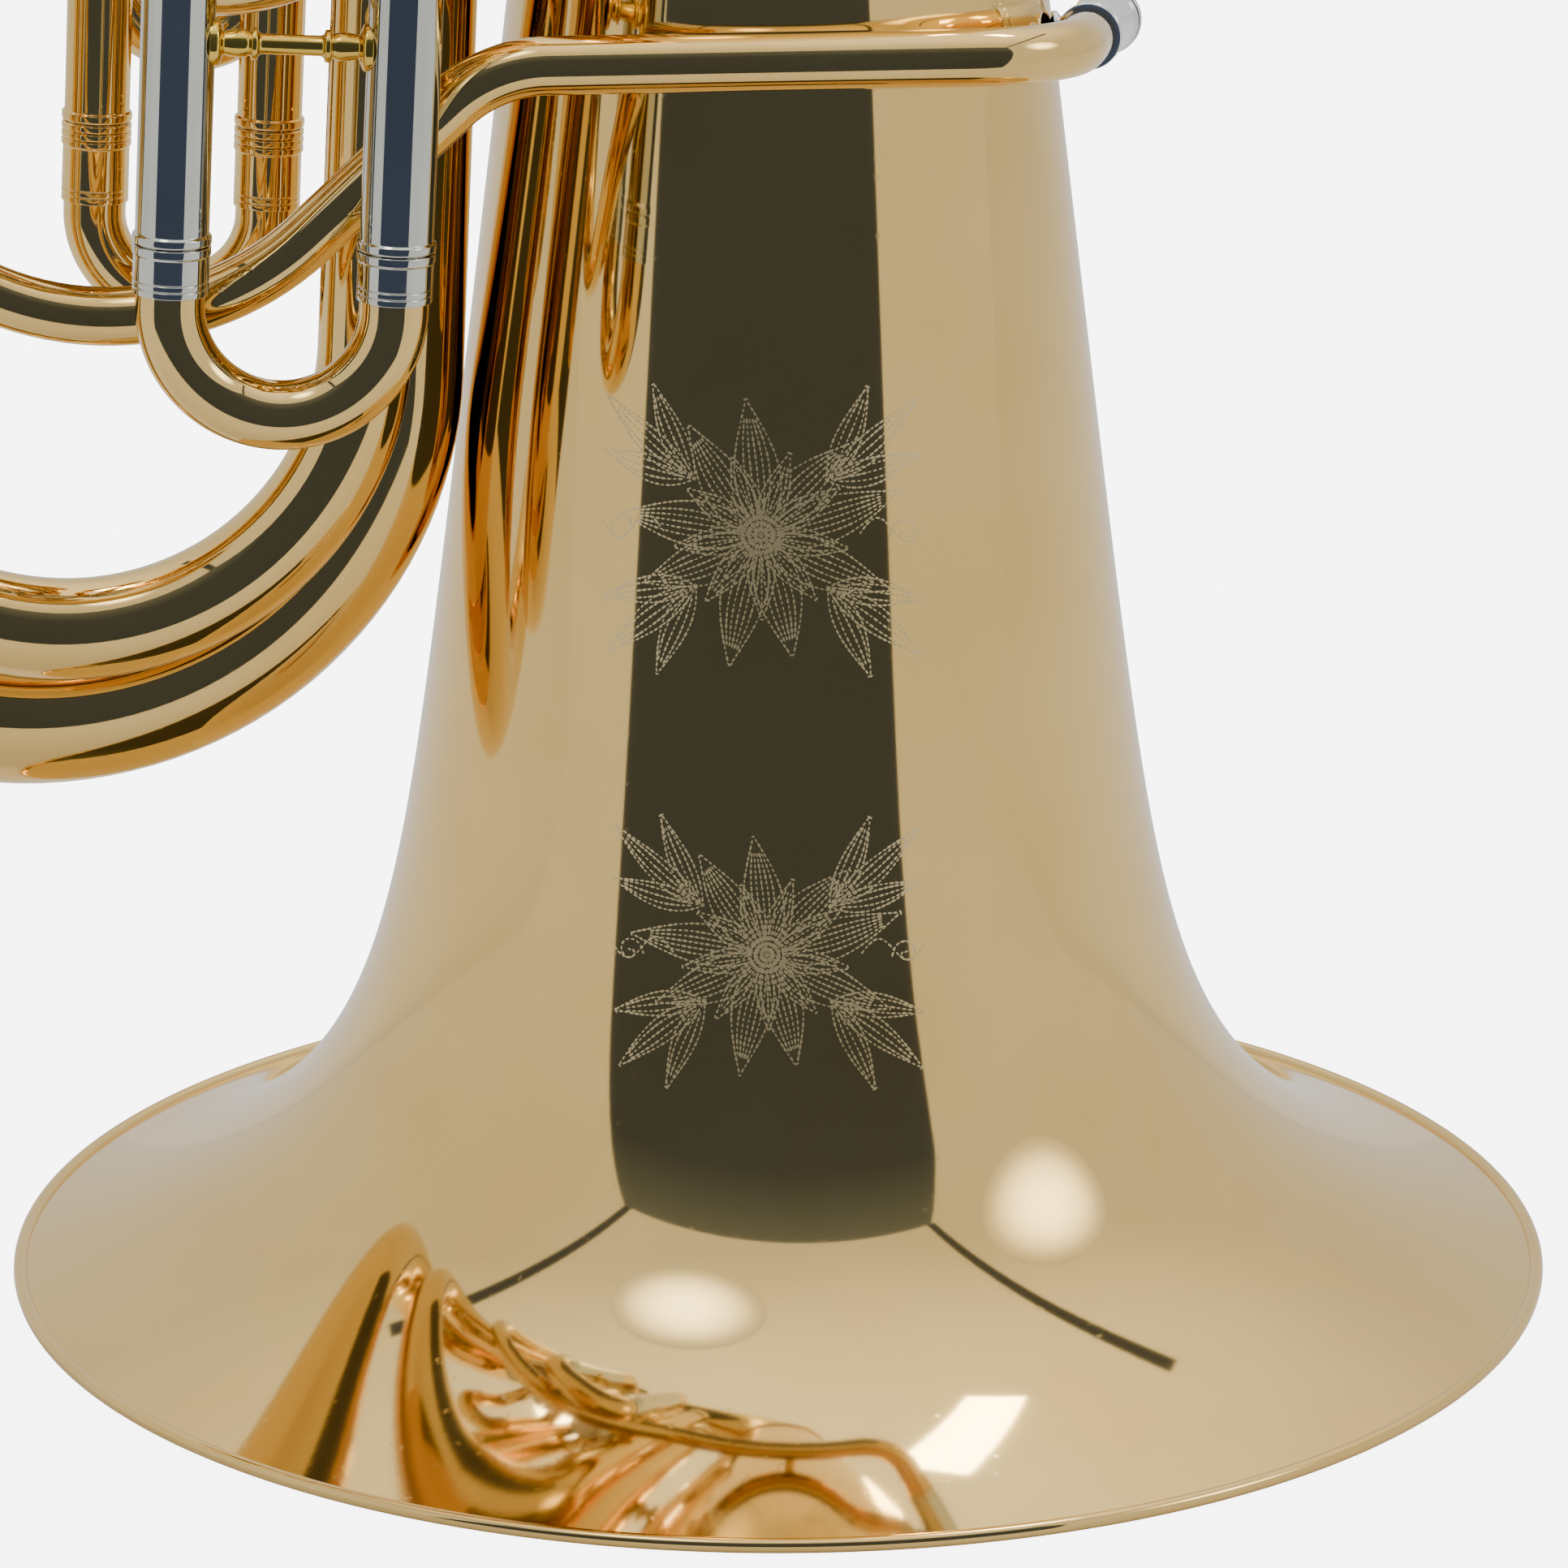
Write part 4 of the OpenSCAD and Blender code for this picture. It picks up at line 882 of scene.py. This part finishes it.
def spray(wide, tall):
    """A many-petalled flower with leaves and tendrils, fitting a field of that size, as line strips."""
    lines = []
    for k in range(9):
        angle = 40 * k + 10
        reach = math.hypot(0.44 * wide * math.cos(math.radians(angle)), 0.5 * tall * math.sin(math.radians(angle)))
        length, bend = reach * (0.92 if k % 2 else 1.0), 0.05 * tall * (-1) ** k
        for shape in [petal(length, 0.085 * tall, bend), *veins(length, 0.085 * tall, bend, 5)]:
            lines.append(turned_by(shape, angle))
        for shape in [petal(0.62 * reach, 0.05 * tall), *veins(0.6 * reach, 0.05 * tall, 0, 3)]:
            lines.append(turned_by(shape, angle + 20))
    for ring in (0.03, 0.05, 0.07):
        lines.append([(ring * tall * math.cos(a), ring * tall * math.sin(a))
                      for a in (2 * math.pi * k / 20 for k in range(21))])
    for side in (-1, 1):
        for lift in (-1, 1):
            base = (side * 0.2 * wide, lift * 0.2 * tall)
            for spread, size in ((8, 0.36), (34, 0.3), (-20, 0.3)):
                heading = math.degrees(math.atan2(lift, side)) - side * lift * (20 - spread)
                leaf_bend = 0.04 * tall * side * lift
                for shape in [petal(size * wide, 0.05 * tall, leaf_bend),
                              *veins(size * wide, 0.05 * tall, leaf_bend, 3)]:
                    lines.append(turned_by(shape, heading, *base))
        lines.append([(side * wide * (0.3 + 0.2 * t), 0.05 * tall * math.sin(2 * math.pi * t))
                      for t in (k / 20 for k in range(21))])
        lines.append([(side * (0.44 * wide - 0.06 * tall * (1 - t) * math.cos(9 * t)),
                       -0.02 * tall + 0.06 * tall * (1 - t) * math.sin(9 * t))
                      for t in (k / 30 for k in range(28))])
    return lines


def cuts_tree():
    """Geometry nodes that set short cuts along edge chains, lying in the surface's own direction."""
    tree, given, result = new_shape_tree("Engraved cuts", {
        "Pitch": ("NodeSocketFloat", 0.001), "Length": ("NodeSocketFloat", 0.0004), "Seed": ("NodeSocketInt", 4)})
    new, link = tree.nodes.new, tree.links.new
    to_curve = new("GeometryNodeMeshToCurve")
    spaced = new("GeometryNodeResampleCurve")
    spaced.mode = "LENGTH"
    normal = new("GeometryNodeInputNamedAttribute")
    normal.data_type = "FLOAT_VECTOR"
    normal.inputs["Name"].default_value = "out"
    tangent = new("GeometryNodeInputTangent")
    upright = new("FunctionNodeAlignRotationToVector")
    upright.axis = "Z"
    along = new("FunctionNodeAlignRotationToVector")
    along.axis = "X"
    along.pivot_axis = "Z"
    bead = new("GeometryNodeMeshCylinder")
    bead.inputs["Vertices"].default_value = 6
    bead.inputs["Radius"].default_value = 1.0
    bead.inputs["Depth"].default_value = 0.4
    vary = new("FunctionNodeRandomValue")
    vary.data_type = "FLOAT"
    vary.inputs[2].default_value = 0.75
    vary.inputs[3].default_value = 1.2
    size = new("ShaderNodeMath")
    size.operation = "MULTIPLY"
    shape = new("ShaderNodeVectorMath")
    shape.operation = "SCALE"
    shape.inputs[0].default_value = (1.0, 0.42, 0.30)
    put = new("GeometryNodeInstanceOnPoints")
    real = new("GeometryNodeRealizeInstances")
    paint = new("GeometryNodeSetMaterial")
    link(given.outputs["Geometry"], to_curve.inputs["Mesh"])
    link(to_curve.outputs["Curve"], spaced.inputs["Curve"])
    link(given.outputs["Pitch"], spaced.inputs["Length"])
    link(normal.outputs["Attribute"], upright.inputs["Vector"])
    link(upright.outputs["Rotation"], along.inputs["Rotation"])
    link(tangent.outputs["Tangent"], along.inputs["Vector"])
    link(given.outputs["Seed"], vary.inputs["Seed"])
    link(vary.outputs[1], size.inputs[0])
    link(given.outputs["Length"], size.inputs[1])
    link(size.outputs[0], shape.inputs["Scale"])
    link(spaced.outputs["Curve"], put.inputs["Points"])
    link(bead.outputs["Mesh"], put.inputs["Instance"])
    link(along.outputs["Rotation"], put.inputs["Rotation"])
    link(shape.outputs["Vector"], put.inputs["Scale"])
    link(put.outputs["Instances"], real.inputs["Geometry"])
    link(real.outputs["Geometry"], paint.inputs["Geometry"])
    link(given.outputs["Material"], paint.inputs["Material"])
    link(paint.outputs["Geometry"], result.inputs["Geometry"])
    return tree


def on_bell(x, y, centre_x, centre_z):
    """A point of a flat drawing laid on the bell's audience side, with the surface's direction."""
    z = centre_z + y
    radius = bell_radius(z)
    angle = -math.pi / 2 + (x + centre_x) / radius
    out, up = bell_normal(z)
    return (Vector((radius * math.cos(angle), radius * math.sin(angle), z)),
            Vector((out * math.cos(angle), out * math.sin(angle), up)))


class HORN_OT_engraving(bpy.types.Operator):
    """Cuts two sprays of flowers into the front of the bell, one above the other"""
    bl_idname = "horn.engraving"
    bl_label = "Engraving"

    def execute(self, context):
        if "cuts" not in TREES:
            TREES["cuts"] = cuts_tree()
        material = finish("Engraved cuts", (0.92, 0.76, 0.42), (0.74, 0.58, 0.28), smooth=0.45, dull=0.55,
                          amount=1.0)
        for name, wide, tall, x, z in (("upper_spray", 62, 50, -9, 165), ("lower_spray", 60, 44, -9, 87)):
            verts, edges, normals = [], [], []
            for line in spray(wide, tall):
                first = len(verts)
                for px, py in line:
                    point, out = on_bell(px, py, x, z)
                    verts.append(point * MM)
                    normals += list(out)
                edges += [(i, i + 1) for i in range(first, len(verts) - 1)]
            mesh = bpy.data.meshes.new(name + "_lines")
            mesh.from_pydata(verts, edges, [])
            mesh.attributes.new("out", "FLOAT_VECTOR", "POINT").data.foreach_set("vector", normals)
            source = mesh_object(name + "_lines", mesh, None)
            sizes = context.scene.horn_sizes
            values = {"Pitch": sizes.stroke_pitch, "Length": sizes.stroke_length, "Seed": 4, "Material": material}
            piece = mesh_object(name, evaluated(source, TREES["cuts"], values, name), material)
            settle(piece, "horn", "bell_lacquer")
        return {"FINISHED"}


class HORN_OT_kept_parts(bpy.types.Operator):
    """Gives the parts that keep their CAD shape their finishes"""
    bl_idname = "horn.kept_parts"
    bl_label = "Kept parts"

    def execute(self, context):
        finishes = {
            "pearl": pearl_shell, "spring_steel": bare_steel, "cork": natural_cork, "silver_plate": silver_plate,
            "nickel_silver": nickel_silver, "monel": nickel_silver, "brace_brass": yellow_brass,
            "lacquered_brass": lacquered, "bell_lacquer": bell_sheet}
        slots = {part["node"]: part["material_slot"] for part in frame["record"]["subparts"]}
        for node, piece in frame["nodes"].items():
            material = finishes[slots[node]]()
            for slot in piece.material_slots:
                slot.material = material
        # Each valve spring gets a mesh of its own
        for i in range(3):
            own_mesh(frame["nodes"][f"valve_spring_{i + 1}"])
        return {"FINISHED"}


# ---------------------------------------------------------------- studio
class HORN_OT_stage(bpy.types.Operator):
    """Sets up the pale floor, the soft light and the camera"""
    bl_idname = "horn.stage"
    bl_label = "Studio"

    def execute(self, context):
        room = context.scene.horn_studio
        floor = self.sheet("studio_floor", [(-6, -0.45, 0), (6, -0.45, 0), (6, 6, 0), (-6, 6, 0)],
                           context.scene.horn_finishes.floor)
        self.lit_for_camera(floor, room.floor_glow)
        # Screens that the bell mirrors: a tall dark one behind the camera and two thin bars at its top
        top, front = room.screen_height, -1.75
        dark, grey = (0.060, 0.078, 0.125), (0.16, 0.20, 0.26)
        screens = [
            self.sheet("dark_screen", [(-2.7, front, -1.5), (0.8, front, -1.5), (1.31, front, 1.2),
                                       (-2.15, front, 1.2)], dark),
            self.sheet("upper_screen", [(-2.15, front, 1.2), (1.31, front, 1.2), (1.38, front, top),
                                        (-1.95, front, top)], dark, grey),
            self.sheet("left_bar", [(-1.95, front, top), (-1.83, front, top), (-1.45, 1.1, top),
                                    (-1.57, 1.1, top)], dark),
            self.sheet("right_bar", [(1.32, front, top), (1.42, front, top), (1.5, 0.95, top),
                                     (1.40, 0.95, top)], dark)]
        # Soft lamps and two small windows, as bright sheets that fade into the room
        for name, way, reach, size, power in (
                ("left_lamp", (-0.241, -0.277, 0.93), 2.2, 0.42, 5.5),
                ("right_lamp", (0.738, -0.29, 0.61), 2.2, 0.55, 5.5),
                ("ceiling", (0.10, 0.25, 0.963), 3.2, 3.6, 0.75)):
            screens.append(self.lamp(name, Vector(way) * reach, size, power))
        for name, way in (("left_window", (-0.244, 0.226, 0.943)), ("right_window", (0.248, 0.215, 0.945))):
            light = bpy.data.lights.new(name, "AREA")
            light.shape = "RECTANGLE"
            light.size, light.size_y, light.energy = 0.42, 0.2, 5
            lamp = bpy.data.objects.new(name, light)
            lamp.location = Vector(way) * 2.1
            lamp.rotation_euler = (-Vector(way)).to_track_quat("-Z", "Y").to_euler()
            context.scene.collection.objects.link(lamp)
        for piece in screens:
            piece.visible_camera = False
            piece.visible_shadow = False
            piece.visible_diffuse = False
        world = bpy.data.worlds.new("Studio")
        world.use_nodes = True
        backdrop = world.node_tree.nodes["Background"]
        backdrop.inputs["Color"].default_value = (0.97, 0.98, 1.0, 1)
        path = world.node_tree.nodes.new("ShaderNodeLightPath")
        level = world.node_tree.nodes.new("ShaderNodeMath")
        level.operation = "MULTIPLY_ADD"
        level.inputs[1].default_value = room.floor_glow
        level.inputs[2].default_value = room.brightness
        world.node_tree.links.new(path.outputs["Is Camera Ray"], level.inputs[0])
        world.node_tree.links.new(level.outputs[0], backdrop.inputs["Strength"])
        context.scene.world = world
        lens = bpy.data.cameras.new("Camera")
        lens.sensor_width = 36.0
        lens.lens = CAMERA_LENS
        lens.clip_start = 0.05
        camera = bpy.data.objects.new("Camera", lens)
        camera.location = CAMERA_PLACE
        camera.rotation_euler = Euler((math.radians(90 - CAMERA_DIP), 0.0, math.radians(CAMERA_TURN)), "XYZ")
        context.scene.collection.objects.link(camera)
        context.scene.camera = camera
        return {"FINISHED"}

    def sheet(self, name, corners, colour, top_colour=None):
        """A flat four-cornered sheet. Its colour may change towards its third and fourth corners."""
        mesh = bpy.data.meshes.new(name)
        mesh.from_pydata(corners, [], [(0, 1, 2, 3)])
        mesh.attributes.new("rise", "FLOAT", "POINT").data.foreach_set("value", [0.0, 0.0, 1.0, 1.0])
        material = bpy.data.materials.new(name)
        material.use_nodes = True
        tree = material.node_tree
        shader = tree.nodes["Principled BSDF"]
        shader.inputs["Base Color"].default_value = (*colour, 1)
        shader.inputs["Roughness"].default_value = 0.7
        shader.inputs["Specular IOR Level"].default_value = 0.1
        if top_colour:
            rise = tree.nodes.new("ShaderNodeAttribute")
            rise.attribute_name = "rise"
            blend = tree.nodes.new("ShaderNodeMix")
            blend.data_type = "RGBA"
            blend.inputs["A"].default_value = (*colour, 1)
            blend.inputs["B"].default_value = (*top_colour, 1)
            tree.links.new(rise.outputs["Fac"], blend.inputs["Factor"])
            tree.links.new(blend.outputs["Result"], shader.inputs["Base Color"])
        piece = mesh_object(name, mesh, material)
        return piece

    def lit_for_camera(self, piece, strength):
        """The sheet looks paler to the camera than it does in mirrored surfaces."""
        tree = piece.data.materials[0].node_tree
        shader = tree.nodes["Principled BSDF"]
        path = tree.nodes.new("ShaderNodeLightPath")
        scaled = tree.nodes.new("ShaderNodeMath")
        scaled.operation = "MULTIPLY"
        scaled.inputs[1].default_value = strength
        tree.links.new(path.outputs["Is Camera Ray"], scaled.inputs[0])
        tree.links.new(scaled.outputs[0], shader.inputs["Emission Strength"])
        shader.inputs["Emission Color"].default_value = (1, 1, 1, 1)

    def lamp(self, name, centre, size, power):
        """A round bright sheet facing the horn that fades to the brightness of the room at its edge."""
        turn = (-centre).to_track_quat("Z", "Y").to_matrix()
        sides, rings = 48, 6
        verts = [centre]
        glow = [1.0]
        for r in range(1, rings + 1):
            verts += [centre + turn @ Vector((math.cos(a), math.sin(a), 0)) * size * r / rings
                      for a in (2 * math.pi * k / sides for k in range(sides))]
            glow += [(1 - (r / rings) ** 2) ** 2] * sides
        faces = [(0, 1 + k, 1 + (k + 1) % sides) for k in range(sides)]
        for r in range(rings - 1):
            a, b = 1 + r * sides, 1 + (r + 1) * sides
            faces += [(a + k, b + k, b + (k + 1) % sides, a + (k + 1) % sides) for k in range(sides)]
        mesh = bpy.data.meshes.new(name)
        mesh.from_pydata(verts, [], faces)
        mesh.attributes.new("glow", "FLOAT", "POINT").data.foreach_set("value", glow)
        material = bpy.data.materials.new(name)
        material.use_nodes = True
        tree = material.node_tree
        tree.nodes.clear()
        shine, out = tree.nodes.new("ShaderNodeEmission"), tree.nodes.new("ShaderNodeOutputMaterial")
        fade, level = tree.nodes.new("ShaderNodeAttribute"), tree.nodes.new("ShaderNodeMath")
        fade.attribute_name = "glow"
        level.operation = "MULTIPLY_ADD"
        level.inputs[1].default_value = power
        level.inputs[2].default_value = bpy.context.scene.horn_studio.brightness
        tree.links.new(fade.outputs["Fac"], level.inputs[0])
        tree.links.new(level.outputs[0], shine.inputs["Strength"])
        tree.links.new(shine.outputs[0], out.inputs["Surface"])
        piece = mesh_object(name, mesh, material)
        return piece


OPERATORS = (HORN_OT_bell, HORN_OT_branches, HORN_OT_leadpipe, HORN_OT_valves, HORN_OT_slides,
             HORN_OT_port_tubes, HORN_OT_braces, HORN_OT_engraving, HORN_OT_kept_parts, HORN_OT_stage)


class HORN_PT_panel(bpy.types.Panel):
    """Lists the horn's pieces in the sidebar"""
    bl_idname = "HORN_PT_panel"
    bl_label = "Baritone horn"
    bl_space_type = "VIEW_3D"
    bl_region_type = "UI"
    bl_category = "Horn"

    def draw(self, context):
        layout = self.layout
        for owner in (context.scene.horn_sizes, context.scene.horn_finishes, context.scene.horn_studio):
            for name in owner.__annotations__:
                layout.prop(owner, name)
        for operator in OPERATORS:
            layout.operator(operator.bl_idname)


CLASSES = (HornSizes, HornFinishes, HornStudio, *OPERATORS, HORN_PT_panel)


def register():
    for item in CLASSES:
        bpy.utils.register_class(item)
    bpy.types.Scene.horn_sizes = PointerProperty(type=HornSizes)
    bpy.types.Scene.horn_finishes = PointerProperty(type=HornFinishes)
    bpy.types.Scene.horn_studio = PointerProperty(type=HornStudio)


def unregister():
    del bpy.types.Scene.horn_sizes
    del bpy.types.Scene.horn_finishes
    del bpy.types.Scene.horn_studio
    for item in reversed(CLASSES):
        bpy.utils.unregister_class(item)


def main():
    register()
    for operator in OPERATORS:
        group_name, call = operator.bl_idname.split(".")
        getattr(getattr(bpy.ops, group_name), call)()


if __name__ == "__main__":
    main()
